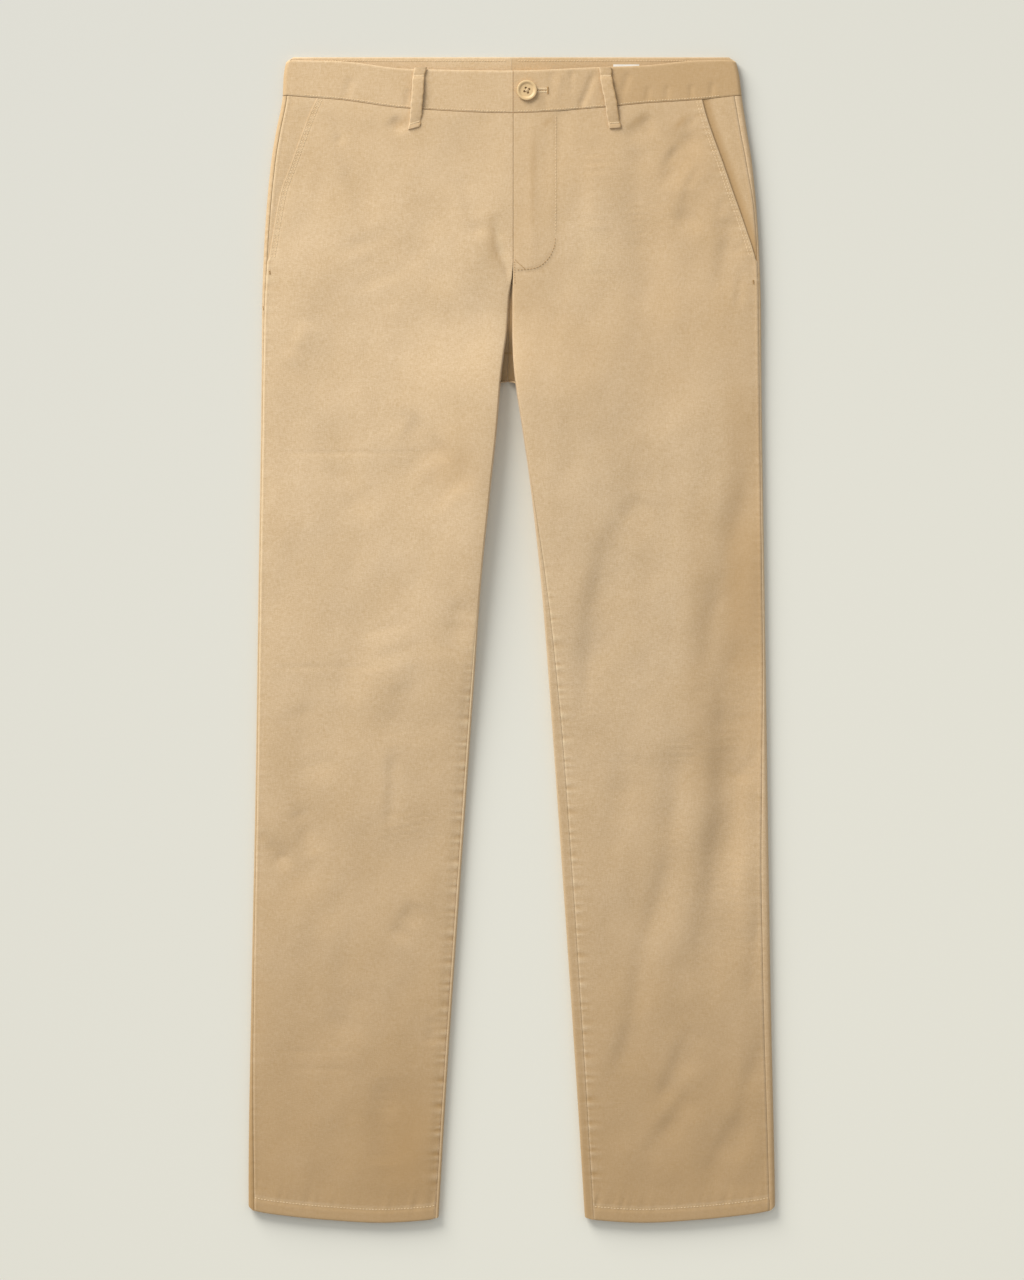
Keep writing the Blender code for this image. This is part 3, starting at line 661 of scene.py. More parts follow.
def cottonTwill(name, degrees):  # matt peached cotton: uneven threads both ways, faint twill lines, no shine
    material, shader, add = newMaterial(name, {
        "Roughness": 0.9, "Sheen Weight": 0.15, "Sheen Roughness": 0.45, "Specular IOR Level": 0.25,
    })
    place = (add("TexCoord"), "Object")
    turned = add("Mapping", {"Rotation": (0, 0, math.radians(degrees))}, {"Vector": place})
    pattern = {"Scale": bandScale(twill["lines"]), "Distortion": 1.6, "Detail": 2.0, "Detail Scale": 1.4}
    lines = add("TexWave", {"bands_direction": "X", **pattern}, {"Vector": (turned, "Vector")})
    threads = []
    for scale in ((1 / twill["long"], 1, 1), (1, 1 / twill["long"], 1)):  # weft and warp
        stretched = add("Mapping", {"Scale": scale}, {"Vector": place})
        pattern = {"Scale": 1 / twill["slub"], "Detail": 2.0, "Roughness": 0.6}
        threads.append((add("TexNoise", pattern, {"Vector": (stretched, "Vector")}), "Fac"))
    woven = add("Math", {"operation": "ADD"}, {0: threads[0], 1: threads[1]})
    mixIn = {"operation": "MULTIPLY_ADD"}
    ribbed = add("Math", {**mixIn, 1: 0.12}, {0: (lines, "Fac"), 2: (woven, "Value")})
    pattern = {"Scale": 1 / twill["cloud"], "Detail": 3.0, "Roughness": 0.5}
    cloud = add("TexNoise", pattern, {"Vector": place})
    dyed = add("Math", {**mixIn, 1: 0.55}, {0: (cloud, "Fac"), 2: (ribbed, "Value")})
    contrast = add("MapRange", {"From Min": 0.95, "From Max": 1.72}, {"Value": (dyed, "Value")})
    tones = {"data_type": "RGBA", 6: toLinear(twill["deep"]), 7: toLinear(twill["pale"])}
    tone = add("Mix", tones, {0: (contrast, "Result")})
    # the attribute mixes toward the pale colour above 0 and the dark one below: rubbed wear, painted light and painted
    # shade
    wear = add("Attribute", {"attribute_name": "wear"})
    clamped = {"operation": "MULTIPLY", "use_clamp": True}
    shares = [add("Math", {**clamped, 1: by}, {0: (wear, "Fac")}) for by in (0.6, -0.6)]
    for colour, share in zip(("wearAndLighting", "shadeAndDeepTone"), shares):
        tones = {"data_type": "RGBA", 7: toLinear(twill[colour])}
        tone = add("Mix", tones, {0: (share, "Value"), 6: (tone, 2)})
    bump = add("Bump", {"Strength": 0.5, "Distance": 0.22 * mm}, {"Height": (ribbed, "Value")})
    connect(shader, {"Base Color": (tone, 2), "Normal": (bump, "Normal")})
    return material


def twoTone(name, tones, look, kind, pattern, stretch=None):  # a texture that blends two close tones
    material, shader, add = newMaterial(name, look)
    place = (add("TexCoord"), "Object")
    if stretch:
        place = (add("Mapping", stretch, {"Vector": place}), "Vector")
    texture = add(kind, pattern, {"Vector": place})
    mix = {"data_type": "RGBA", 6: toLinear(tones[0]), 7: toLinear(tones[1])}
    tone = add("Mix", mix, {0: (texture, "Fac")})
    connect(shader, {"Base Color": (tone, 2)})
    return material


twillDown = cottonTwill("cotton twill", twill["angle"])
twillAcross = cottonTwill("cotton twill cut across", twill["angle"] - 90)
# sewing threads: spun polyester near the cloth's colour, a little smoother than it, its plies just uneven
spun = ({"Roughness": 0.6, "Sheen Weight": 0.2}, "TexNoise", {"Scale": 1 / (0.8 * mm), "Detail": 2.0})
thread = twoTone("spun polyester thread", ("#D9BC8E", "#F0DCB8"), *spun)
# a darker copy of the thread: painted shade of sunk and close-packed stitches on the fly's curve, the bar tacks and the
# buttonhole's end
shadedThread = twoTone("spun polyester thread painted darker", ("#A98451", "#C19C68"), *spun)
corozo = twoTone(  # turned and polished vegetable ivory: fine streaks and a soft gloss
    "corozo button", ("#C3A070", "#E0C698"), {"Roughness": 0.48, "IOR": 1.5},
    "TexNoise", {"Scale": 1 / (3.5 * mm), "Detail": 4.0, "Roughness": 0.6},
    {"Scale": (1.0, 5.0, 1.0), "Rotation": (0, 0, 0.5)},
)
labelTape = twoTone(  # white woven polyester tape, close ribs with a slight gloss
    "white satin tape", ("#F4F3EE", "#E6E4DC"), {"Roughness": 0.55, "Sheen Weight": 0.2},
    "TexWave", {"bands_direction": "Y", "Scale": bandScale(1.0 * mm), "Distortion": 0.3},
)
nylon = twoTone(  # knitted nylon tape, close ribs along its length
    "knitted nylon tape", ("#B99A6C", "#C7A97B"), {"Roughness": 0.65},
    "TexWave", {"bands_direction": "X", "Scale": bandScale(1.2 * mm), "Distortion": 0.2},
)
print("materials made")


# ---- panels

back = {
    "crossSeam": 0.278,  # the seam across the fork, seen between the legs
    "crossStep": 0.5 * mm,
    "forkRise": 2.5 * mm,  # the seat seam rises into the top of the fork
    "riseAlong": (0.180, 0.220, 0.250, 0.284),
    "fine": (0.262, 0.318),  # drop between which the rows lie closer
    "rollCols": (0, .12, .24, .36, .48, .59, .69, .77, .84, .89, .93, .965, 1.0),  # shares of the way up an edge
}


def frontPanel(side):
    sign = signOf[side]
    hem, radius = laid["hem"], front["turnRadius"]
    straight = np.linspace(laid["seamTop"] + halfGap, hem - radius, front["rows"])
    angles = np.linspace(0, math.pi, 7)[1:]
    turnIn = np.linspace(0, laid["hemHeight"], 6)[1:]
    nominal = np.concatenate([straight, np.full(6, hem - radius), hem - radius - turnIn])[:, None]
    still = np.zeros(front["rows"])
    shiftDrop = np.concatenate([still, radius * np.sin(angles), np.zeros(5)])[:, None]
    shiftUp = np.concatenate([still, -radius * (1 - np.cos(angles)), np.full(5, -2 * radius)])[:, None]
    edge, inner = frontEdges(side, nominal)
    width = edge - inner
    close = np.array(front["closeCols"]) * mm
    fromSide = close / width
    fromInner = 1 - close[::-1] / width
    middle = np.linspace(0, 1, front["middleCols"] + 2)[1:-1] * (fromInner[:, :1] - fromSide[:, -1:]) + fromSide[:, -1:]
    out = edge - width * np.concatenate([fromSide, middle, fromInner], axis=1)
    flat = np.minimum(nominal, hem - radius)
    drop, z = frontHeight(side, out, flat)
    fromEdge, fromInseam = edge - out, out - inner
    rubbed = 0.4 - 0.3 * (side == "left") * (nominal < pocket["end"])
    wear = rubbed * hump(fromEdge, 0.5 * mm, 0.9 * mm)
    wear = wear + 0.45 * hump(fromInseam, 0.5 * mm, 0.9 * mm) * seamShows(side, flat)
    # ripple crests painted paler and hollows darker: partly rubbed wear, partly painted light and shade
    wear = wear + ripples(side, fromEdge, fromInseam, flat, drop) / front["fullRipple"] * 0.55
    # painted shade and light in broad patches, and along the fine creases
    wear = wear + 0.5 * hump(nominal, hem - laid["hemHeight"] - 1.6 * mm, 1.0 * mm) + paintedShadeAndLight(side, out, drop)
    wear = np.clip(wear + paintedCreaseShading(sign * out, drop), *front["wearAndShadingRange"])
    piece = sheetPiece("frontPanel" + side.title(), world(sign * out, drop + shiftDrop, z + shiftUp), wear)
    dress(piece, "front_panel_" + side, twillDown)


def rolledStrip(flatEnd, direction, radius, turn, length, shares):  # outer face of a strip that rolls up
    run = length * shares
    angle = np.minimum(run / radius, turn)
    rest = np.maximum(run - radius * turn, 0.0)
    out = flatEnd + direction * (radius * np.sin(angle) + rest * np.cos(turn))
    return out, radius * (1 - np.cos(angle)) + rest * np.sin(turn), length - run


def rollRun(radius, inset):  # length of cloth from the floor up over the edge to a seam
    return radius * (math.pi - np.arcsin(np.clip(1 - inset / radius, 0, 1))) + np.maximum(inset - radius, 0)


def backPanel(side):
    sign, wall, hem = signOf[side], laid["wall"], laid["hem"]
    near, far = back["fine"]
    rows = ((laid["seamTop"] + laid["gap"], near, 100), (near, far, 70), (far, hem, 301))
    nominal = np.concatenate([np.linspace(*row)[:-1] for row in rows] + [[hem]])[:, None]
    outer, sideSeam, inseam, inner = legEdges(side, nominal)
    shares = np.array(back["rollCols"])

    radius = edgeRadius(side, "side", nominal)
    rolledRun = rollRun(radius, outer - sideSeam) - halfGap
    sideOut, sideUp, sideLeft = rolledStrip(outer - radius, 1, radius, math.pi, rolledRun, shares[::-1])

    radius = edgeRadius(side, "inner", nominal)
    turn = np.radians(follow(roll, "turn", nominal))
    squash = np.minimum(1, front["edgeWide"] / radius)  # a high edge is rounded over less than its height
    flatRun = inner + radius - sign * follow(innerEdge, "seat", nominal) - halfGap
    inset = inseam - inner
    inset = np.where(inset < squash * radius, inset / squash, inset + radius * (1 - squash))
    rolledRun = rollRun(radius, inset) - halfGap
    length = flatRun + (rolledRun - flatRun) * turn / math.pi - wall * np.sin(turn)
    innerOut, innerUp, innerLeft = rolledStrip(inner + radius, -1, radius, turn, length, shares)
    squash = 1 + (squash - 1) * turn / math.pi
    fromEdge = innerOut - inner
    innerOut = inner + np.minimum(fromEdge, radius) * squash + np.maximum(fromEdge - radius, 0)

    middle = sideOut[:, -1:] + (innerOut[:, :1] - sideOut[:, -1:]) * np.linspace(0, 1, 14)[1:-1]
    out = np.concatenate([sideOut, middle, innerOut], axis=1)
    up = np.concatenate([sideUp, np.zeros(middle.shape), innerUp], axis=1)
    far = np.full(middle.shape, 1.0)
    fromSide = np.concatenate([sideLeft, far, np.full(innerOut.shape, 1.0)], axis=1)
    fromInner = np.concatenate([np.full(sideOut.shape, 1.0), far, innerLeft], axis=1)
    drop = settle(side, np.minimum(out, outer), nominal)
    raised = ease(up, wall, 2 * wall)
    drop = drop - (1 - ease(nominal, laid["seamTop"], 0.120)) * (1 - raised) * (drop - nominal)
    drop = drop - 2 * mm * ease(nominal, 0.9, hem) * (1 - raised)

    inLeg = seamShows(side, nominal)
    dip, dipWide = front["seamDip"]
    wear = 0.25 * hump(fromSide, 0.9 * mm, 1.1 * mm) + 0.4 * hump(fromInner, 0.9 * mm, 1.1 * mm) * inLeg
    facing = fromSide if side == "left" else fromInner  # painted shade: the edge that faces the lamp is painted a little deeper, against its highlight
    wear = wear - (0.7 if side == "left" else 0.35) * np.exp(-facing / (6 * mm)) * raised
    for distance, place, share in ((fromSide, "side", 1.0), (fromInner, "inner", 0.45 * inLeg)):
        onTop = ease(up, wall, 2 * wall) * share
        up = up - dip * onTop * hump(distance, 0, dipWide)
        ripple = seamPucker(side, place, drop) * onTop * np.exp(-distance / (5 * mm))
        up = up + 0.6 * ripple
        # ripple crests painted paler and hollows darker: partly rubbed wear, partly painted light and shade
        wear = wear + ripple / front["fullRipple"] * 0.5
    # painted shade in the deep well at the top of the fork, and a dark line at the cross seam
    inFork = (1 - ease(out, inner + 8 * mm, inner + 16 * mm)) * (1 - ease(nominal, 0.3, 0.31))
    wear = wear - (0.9 + 1.2 * hump(nominal, back["crossSeam"], 0.8 * mm)) * inFork * ease(nominal, 0.205, 0.240)
    up = up + back["crossStep"] * ease(nominal, back["crossSeam"] - 1 * mm, back["crossSeam"] + 1 * mm) * inFork
    up = up + back["forkRise"] * between(nominal, *back["riseAlong"]) * inFork
    # painted shade: darker at the waist and down the legs, as on the front
    wear = np.clip(wear + paintedShadeAndLight(side, 0.0, drop), *front["wearAndShadingRange"])
    piece = sheetPiece("backPanel" + side.title(), world(sign * out, drop, up), wear, up=False)
    dress(piece, "back_panel_" + side, twillDown)


def pocketSide(side):
    sign, wall = signOf[side], laid["wall"]
    nominal = np.linspace(laid["seamTop"] + halfGap, pocket["sideEnd"], 90)[:, None]
    outer, sideSeam, _, _ = legEdges(side, nominal)
    mouth = np.minimum(follow(pocket, side, nominal), sideSeam)
    start, end = mouth - pocket["tuck"], sideSeam - laid["gap"]
    share = 1 - (1 - np.linspace(0, 1, 34)) ** 1.5
    out = start + (end - start) * share
    drop = settle(side, out, nominal)
    top = 2 * wall + follow(lie, "side", nominal)
    under = top - pocket["under"][side]
    rise = ease(out, mouth - 2 * mm, mouth + 0.7 * (sideSeam - mouth)) * ease(sideSeam - mouth, 1 * mm, 10 * mm)
    z = under + (top - under) * rise
    z = z - roundOff(outer - out, edgeRadius(side, "side", nominal))
    fromSeam = sideSeam - out
    opened = ease(sideSeam - mouth, 2 * mm, 8 * mm)
    dip, dipWide = front["seamDip"]
    z = z - dip * hump(fromSeam, 0, dipWide) * opened
    z = z + 0.18 * mm * hump(fromSeam, 2.2 * mm, 1.2 * mm) * opened
    z = z + rumple(sign * out, drop, 18 * mm, 9.0) * 0.25 * mm * ease(out, mouth, mouth + 6 * mm)
    z = z - front["topDip"] * hump(nominal, laid["seamTop"], 1.4 * mm)
    # a pale rubbed line at the seam, and painted shade over the piece, most on the right and beside the mouth, where
    # the front's edge shades it
    wear = 0.4 * hump(fromSeam, 0.6 * mm, 1.0 * mm) * opened - (0.5 if side == "right" else 0.15)
    wear = wear - 0.75 * (side == "right") * (1 - ease(out, mouth + 3 * mm, mouth + 10 * mm))
    piece = sheetPiece("pocketSide" + side.title(), world(sign * out, drop, z), wear)
    dress(piece, "pocket_side_" + side, twillDown)


for side in signOf:
    backPanel(side)
    frontPanel(side)
    pocketSide(side)
print("panels made")


# ---- waistband

band = {
    "height": 8.2 * mm,  # laid, front half on back half
    "thick": 2.4 * mm,
    "lap": 0.4 * mm,
    "start": 1.5 * mm,
    "underEnd": 36 * mm,
    "underTop": 5.6 * mm,
    "tall": 38 * mm,
    "sideTurn": 0.204,  # where the front part turns back at the side
    "cornerAt": 0.198,
    "turnRings": 19,
    "ringStep": 2.0 * mm,
    "cornerDip": 3 * mm,
    "relief": 2.0,
    # tone of the outer face near the fly and past the belt loop, and of the inner face: all darker, the right half much
    # darker
    "tone": {"left": (-0.25, -0.25, -0.15), "right": (-0.5, -0.95, -0.6)},
    "creases": (  # in mm: width, height, then x and drop of the points along each
        (2.2, -0.35, 56.2, 13, 56.0, 23),
        (3.2, -0.55, 78, 13, 72, 30, 65, 46),
        (1.6, -0.25, 66, 40, 66, 50),
        (2.2, -0.25, 128, 28, 127, 42),
        (2.4, -0.28, 146, 27, 145, 40),
        (1.8, -0.35, 168, 26, 168, 38),
        (2.0, -0.35, 188, 24, 187, 37),
        (1.8, -0.25, 211, 22, 210, 35),
        (3.0, -0.3, -96, 30, -99, 47),
        (4.0, -0.25, -150, 20, -156, 38),
        (2.0, -0.25, 30, 36, 33, 50),
        (2.6, 0.2, 22, 40, 24, 50),
        (2.6, -0.22, 38, 14, 37, 26),
        (2.6, 0.22, 47, 15, 44, 30),
        (3.4, -0.3, 110, 14, 104, 34),
    ),
}


def bandTop(x):
    return band["height"] + band["lap"] * (1 - ease(x, 0.045, 0.070)) * (x > band["start"] - laid["gap"])


def bandRelief(x, drop):  # creases and small puckers of the face that shows
    total = rumple(x, drop, 26 * mm, 12.0) * 0.16 * mm
    for wide, high, *points in band["creases"]:
        path = curve(points)
        pick, along, beside = besidePath(path, x, drop, 5 * wide * mm)
        if pick.any():
            high = high * band["relief"] * mm
            total[pick] += high * between(along, 0, 0.3, 0.7, 1.3) * hump(beside, 0, wide * mm)
    seam = follow(waist, "seam", x)
    return total + pucker(x, 5.2 * mm, 7.7) * 0.07 * mm * np.exp(-np.abs(seam - drop) / (5 * mm))


def stadium(count, thick, height):  # share down the strip and offset through it, once round
    end = 0.55 * thick / 2 / height  # pressed edges are rounded over less than half their thickness
    half = count // 2
    bow = np.linspace(-math.pi / 2, math.pi / 2, 7)
    down = np.linspace(end, 1 - end, half - 7)[1:-1]
    share = np.concatenate([end - end * np.cos(bow), down, 1 - end + end * np.cos(bow), down[::-1]])
    offset = np.concatenate([np.sin(bow), np.ones(len(down)), -np.sin(bow), -np.ones(len(down))])
    return share, offset


def waistband(side):
    sign, thick = signOf[side], band["thick"]
    share, offset = stadium(56, thick, band["tall"])
    radius = band["height"] / 2
    lower = laid["seamTop"] - laid["gap"]
    cornerTop = follow(waist, "top", sign * band["cornerAt"])
    step, turn = band["ringStep"], band["sideTurn"]
    start = band["start"] if side == "right" else -band["underEnd"]
    frontOuts = [[start, start + 0.25 * mm]]
    if side == "right":
        frontOuts += [np.arange(start + 1 * mm, turn, step)]
    else:  # it dips under the buttoned end just past that end's edge
        dip = np.linspace(-3 * mm, 2 * mm, 16)
        frontOuts += [np.arange(start + 1 * mm, dip[0], step), dip, np.arange(4 * mm, turn, step)]
    frontOuts = np.concatenate(frontOuts)
    rings = []
    for number, out in enumerate(frontOuts):
        x = np.full(share.shape, sign * out)
        top, seam = follow(waist, "top", x), follow(waist, "seam", x) - halfGap
        drop = top + (seam - top) * share
        lap = ease(out, -2.2 * mm, -0.9 * mm) if side == "left" else 1.0
        up = band["underTop"] + (bandTop(x) - band["underTop"]) * lap - thick / 2
        full = 0.55 if number == 0 else 1.0
        relief = bandRelief(x, drop) * (offset > 0.2) * (lap > 0.2)
        rings.append(world(x, drop, up + offset * thick / 2 * full + relief))
    for angle in np.linspace(0, math.pi, band["turnRings"]):
        across, up = math.sin(angle), math.cos(angle)
        top = cornerTop * (1 + up) / 2 + band["cornerDip"] * across
        drop = top + (lower - top) * share
        middle = follow(outline, side, drop) - radius
        reach = radius - thick / 2 + offset * thick / 2
        rings.append(world(sign * (middle + reach * across), drop, radius + reach * up))
    for out in (*np.arange(0.190, 0.004, -6 * mm), halfGap):
        rings.append(world(sign * out, lower * share, thick / 2 - offset * thick / 2))
    wearAndLighting = 0.4 * hump(share, 0, 0.03) + 0.2 * hump(share, 1, 0.03)
    inside = ease(np.arange(len(rings)), len(frontOuts), len(frontOuts) + band["turnRings"])[:, None]
    near, far, inner = band["tone"][side]
    outs = np.concatenate([frontOuts, np.full(len(rings) - len(frontOuts), 0.21)])[:, None]
    outer = near + (far - near) * ease(outs, 0.07, 0.10)
    # painted shade on the left band's turn at the side, which faces the lamp
    facing = 0.6 * (side == "left") * hump(np.arange(len(rings)), len(frontOuts) + 6, 5)[:, None]
    wear = wearAndLighting[None, :] + outer + (inner - outer) * inside - facing
    piece = tubePiece("waistband" + side.title(), rings, wear)
    dress(piece, "waistband_" + side, twillAcross)


for side in signOf:
    waistband(side)
print("waistband made")


# ---- belt loops

loops = {
    "drop": (.0105, .0180, .0240, .0500, .0640, .0672),
    "left": (-.0850, -.0868, -.0878, -.0892, -.0912, -.0918),
    "right": (.0874, .0884, .0893, .0938, .0964, .0969),
    "width": 11.2 * mm,
    "thick": 1.5 * mm,
    "arch": 1.4 * mm,
    "wiggle": (0.3 * mm, 190),  # size and wave number: sideways
    "swell": (0.18 * mm, 610),  # in the width
    "ripple": (0.24 * mm, 900),  # up and down at the edges
    "tacks": (0.0185, 0.0625),  # drop of the bar tacks
    "slant": {"left": 1.4 * mm, "right": 0.4 * mm},  # the lower end is cut off a little aslant
}


def beltLoop(side):
    start, end = loops["drop"][0], loops["drop"][-1]
    share, offset = stadium(40, loops["thick"], loops["width"])
    rings = []
    for drop in np.linspace(start, end, 46):
        down = (drop - start) / (end - start)
        middle = follow(loops, side, drop)
        x = middle + (share - 0.5) * loops["width"]
        fromMiddle = 2 * share - 1
        size, turns = loops["wiggle"]
        wiggle = size * math.sin(drop * turns + (2 if side == "left" else 0))
        size, turns = loops["swell"]
        x = x + wiggle + size * math.sin(drop * turns) * fromMiddle
        arch = loops["arch"] * math.sin(math.pi * min(max((down - 0.12) / 0.74, 0), 1)) ** 0.7
        tack = 0.45 * mm * sum(hump(drop, at, 1.2 * mm) for at in loops["tacks"])
        pillow = 0.35 * mm * (1 - fromMiddle**2) * (offset > 0.1)
        size, turns = loops["ripple"]
        edgeRipple = size * math.sin(drop * turns) * np.abs(fromMiddle) ** 3
        z = float(bandTop(middle)) + 0.35 * mm + loops["thick"] / 2 + arch - tack + pillow + edgeRipple
        slant = loops["slant"][side] * down * (0.5 - share) * 2
        rings.append(world(x, drop + slant, z + offset * loops["thick"] / 2))
    # painted highlight on the lamp-side edge, painted shade on the far edge, and the whole loop painted darker, most on
    # the right
    wearAndLighting = 0.7 * hump(share, 0.02, 0.05) - 0.8 * hump(share, 1, 0.10) - (0.6 if side == "right" else 0.35)
    piece = tubePiece("beltLoop" + side.title(), rings, wearAndLighting)
    dress(piece, "belt_loop_" + side, twillDown)


for side in signOf:
    beltLoop(side)
print("belt loops made")


# ---- stitching

stitch = {
    "pitch": 3.0 * mm, "cover": 0.66, "wide": 0.75 * mm, "high": 0.42 * mm, "sink": 0.02 * mm, "tackPitch": 0.5 * mm,
}


def stitchShape():  # one bead of thread, along x, of unit half sizes
    selectOnly()
    bpy.ops.mesh.primitive_uv_sphere_add(segments=6, ring_count=5, radius=1)
    bead = bpy.context.object
    setMode("EDIT")
    bpy.ops.mesh.select_all(action="SELECT")
    bpy.ops.transform.rotate(value=math.pi / 2, orient_axis="Y", center_override=(0, 0, 0))
    setMode("OBJECT")
    points = np.array([v.co[:] for v in bead.data.vertices])
    faces = [tuple(p.vertices) for p in bead.data.polygons]
    bpy.data.objects.remove(bead, do_unlink=True)
    return points, faces


beadPoints, beadFaces = stitchShape()


def beadsAlong(line, pitch=stitch["pitch"], cover=stitch["cover"]):  # ends of the stitches of one seam
    steps = np.linalg.norm(np.diff(line, axis=0), axis=1)
    run = np.concatenate([[0], np.cumsum(steps)])
    places = np.arange(0, run[-1], pitch)
    places = places[places + pitch * cover <= run[-1]]
    lift = np.array([0, 0, stitch["high"] / 2 - stitch["sink"]])
    ends = [np.stack([np.interp(at, run, axis) for axis in line.T], axis=-1) for at in (places, places + pitch * cover)]
    return [(a + lift, b + lift) for a, b in zip(*ends)]


def sew(name, beads, wide=stitch["wide"], high=stitch["high"], material=thread):
    points, faces = [], []
    for number, (a, b) in enumerate(beads):
        middle, along = (a + b) / 2, (b - a) / 2
        side = np.cross(along, (0, 0, 1.0))
        side = side / (np.linalg.norm(side) or 1.0) * wide / 2
        up = np.cross(side, along)
        up = up / (np.linalg.norm(up) or 1.0) * high / 2
        points.append(middle + beadPoints[:, :1] * along + beadPoints[:, 1:2] * side + beadPoints[:, 2:] * up)
        faces += [tuple(i + number * len(beadPoints) for i in f) for f in beadFaces]
    mesh = bpy.data.meshes.new(name)
    mesh.from_pydata(np.concatenate(points).tolist(), [], faces)
    piece = bpy.data.objects.new(name, mesh)
    bpy.context.scene.collection.objects.link(piece)
    faceOut(piece)
    bpy.ops.object.shade_smooth()
    dress(piece, None, material)


def barTack(middle, along, across, height):  # close parallel stitches, along the first direction
    middle, along, across = np.array(middle), np.array(along), np.array(across)
    count = max(3, int(np.linalg.norm(along) / stitch["tackPitch"]))
    beads = []
    for k in range(count):
        centre = middle + along * (k / (count - 1) - 0.5) + np.array([0, 0, height])
        beads.append((centre - across / 2, centre + across / 2))
    return beads


def pocketStitching(side):
    beads = []
    for gap in pocket["stitchIn"]:
        nominal = np.linspace(laid["seamTop"] + 1.5 * mm, pocket["end"] - 3 * mm, 160)
        edge = frontEdges(side, nominal)[0]
        out = edge - gap
        drop, z = frontHeight(side, out, nominal)
        beads += beadsAlong(world(signOf[side] * out, drop, z), cover=0.84)
    sew("pocketStitching" + side.title(), beads, wide=0.55 * mm)
    tacks = []
    for x, drop, lift in pocket["tacks"][side]:
        spot = onFront(side, np.array([x]), np.array([drop]))[0]
        tacks += barTack(spot, (0.5 * mm, -3.2 * mm, 0), (1.8 * mm, 0.4 * mm, 0), lift)
    sew("pocketTack" + side.title(), tacks, wide=0.5 * mm, material=shadedThread)


def hemStitching(side):
    nominal = laid["hem"] - laid["hemHeight"]
    edge, inner = frontEdges(side, np.array([nominal]))
    out = np.linspace(edge[0] - 0.6 * mm, inner[0] + 0.6 * mm, 220)
    drop, z = frontHeight(side, out, nominal)
    sew("hemStitching" + side.title(), beadsAlong(world(signOf[side] * out, drop, z)))


def flyStitching():
    onFly = lambda path, **look: beadsAlong(onFront("right", path[:, 0], path[:, 1]), **look)
    drops = flyPath[:, 1]
    sew("flyStitchingStraight", onFly(flyPath[(drops > 56 * mm) & (drops < 170 * mm)]), wide=0.5 * mm)
    slope = np.linspace((2.6 * mm, 190.3 * mm), (12.6 * mm, 199.6 * mm), 12)
    edge = np.linspace((2.6 * mm, 192 * mm), (2.8 * mm, 213 * mm), 20)
    beads = onFly(flyPath[drops > 170 * mm]) + onFly(slope, pitch=1.5 * mm, cover=0.8) + onFly(edge, pitch=2.4 * mm)
    sew("flyStitching", beads, wide=0.6 * mm, material=shadedThread)


def waistStitching(side):  # inside the back waistband near its top edge, and outside close above the front's seam
    x = signOf[side] * np.linspace(6 * mm, 196 * mm, 100)
    lines = world(x, 3.6 * mm, band["thick"]), world(x, follow(waist, "seam", x) - 1.9 * mm, bandTop(x))
    beads = [bead for line in lines for bead in beadsAlong(line, pitch=2.6 * mm)]
    sew("waistStitching" + side.title(), beads, wide=0.6 * mm)


def loopStitching(side):
    beads = []
    start, end = loops["drop"][0], loops["drop"][-1]
    for drop in loops["tacks"]:
        middle = float(follow(loops, side, drop))
        tilt = loops["slant"][side] * (drop - start) / (end - start)
        spot = (middle, yAt(drop), float(bandTop(middle)) + 2 * mm)
        beads += barTack(spot, (8.4 * mm, 2 * tilt, 0), (0.2 * mm, 1.5 * mm, 0), 0)
    sew("loopTacks" + side.title(), beads, wide=0.45 * mm, high=0.3 * mm)


for side in signOf:
    pocketStitching(side)
    hemStitching(side)
    waistStitching(side)
    loopStitching(side)
flyStitching()
print("stitching made")


# ---- buttonhole, button and its thread

hole = {"left": 13.0 * mm, "right": 33.2 * mm, "drop": 31.9 * mm, "gap": 0.9 * mm, "lip": 2.0 * mm, "pitch": 0.55 * mm}


def buttonhole():
    beads = []
    y = yAt(hole["drop"])
    for side in (-1, 1):
        for x in np.arange(hole["left"], hole["right"], hole["pitch"]):
            z = float(bandTop(x)) + 0.14 * mm
            near = np.array([x, y + side * hole["gap"] / 2, z])
            far = np.array([x + 0.08 * mm, y + side * (hole["gap"] / 2 + hole["lip"]), z])
            beads.append((near, far))
    sew("buttonhole", beads, wide=0.5 * mm, high=0.42 * mm)
    z = float(bandTop(hole["right"])) + 0.2 * mm
    beads = barTack((hole["right"] + 0.5 * mm, y, z), (0, 6.2 * mm, 0), (1.9 * mm, 0, 0), 0)
    x = np.arange(23 * mm, hole["right"], 2.4 * mm)  # and painted shade along the slit: dark beads on its lips, clear of the button
    lips = np.stack([x, np.full(x.shape, y), bandTop(x) + 0.15 * mm], axis=-1)
    beads += [(a, a + (2.0 * mm, 0, 0)) for a in lips]
    sew("buttonholeEnd", beads, wide=0.6 * mm, high=0.4 * mm, material=shadedThread)


button = {
    "x": 14.1 * mm, "drop": 32.0 * mm, "radius": 9.4 * mm, "thick": 2.7 * mm, "seat": 0.3 * mm,
    "rim": 3.3 * mm, "dish": 1.25 * mm, "hole": 1.15 * mm, "spread": 2.4 * mm, "turn": math.radians(25),
    "edge": 0.75 * mm, "shank": 1.1 * mm,
}


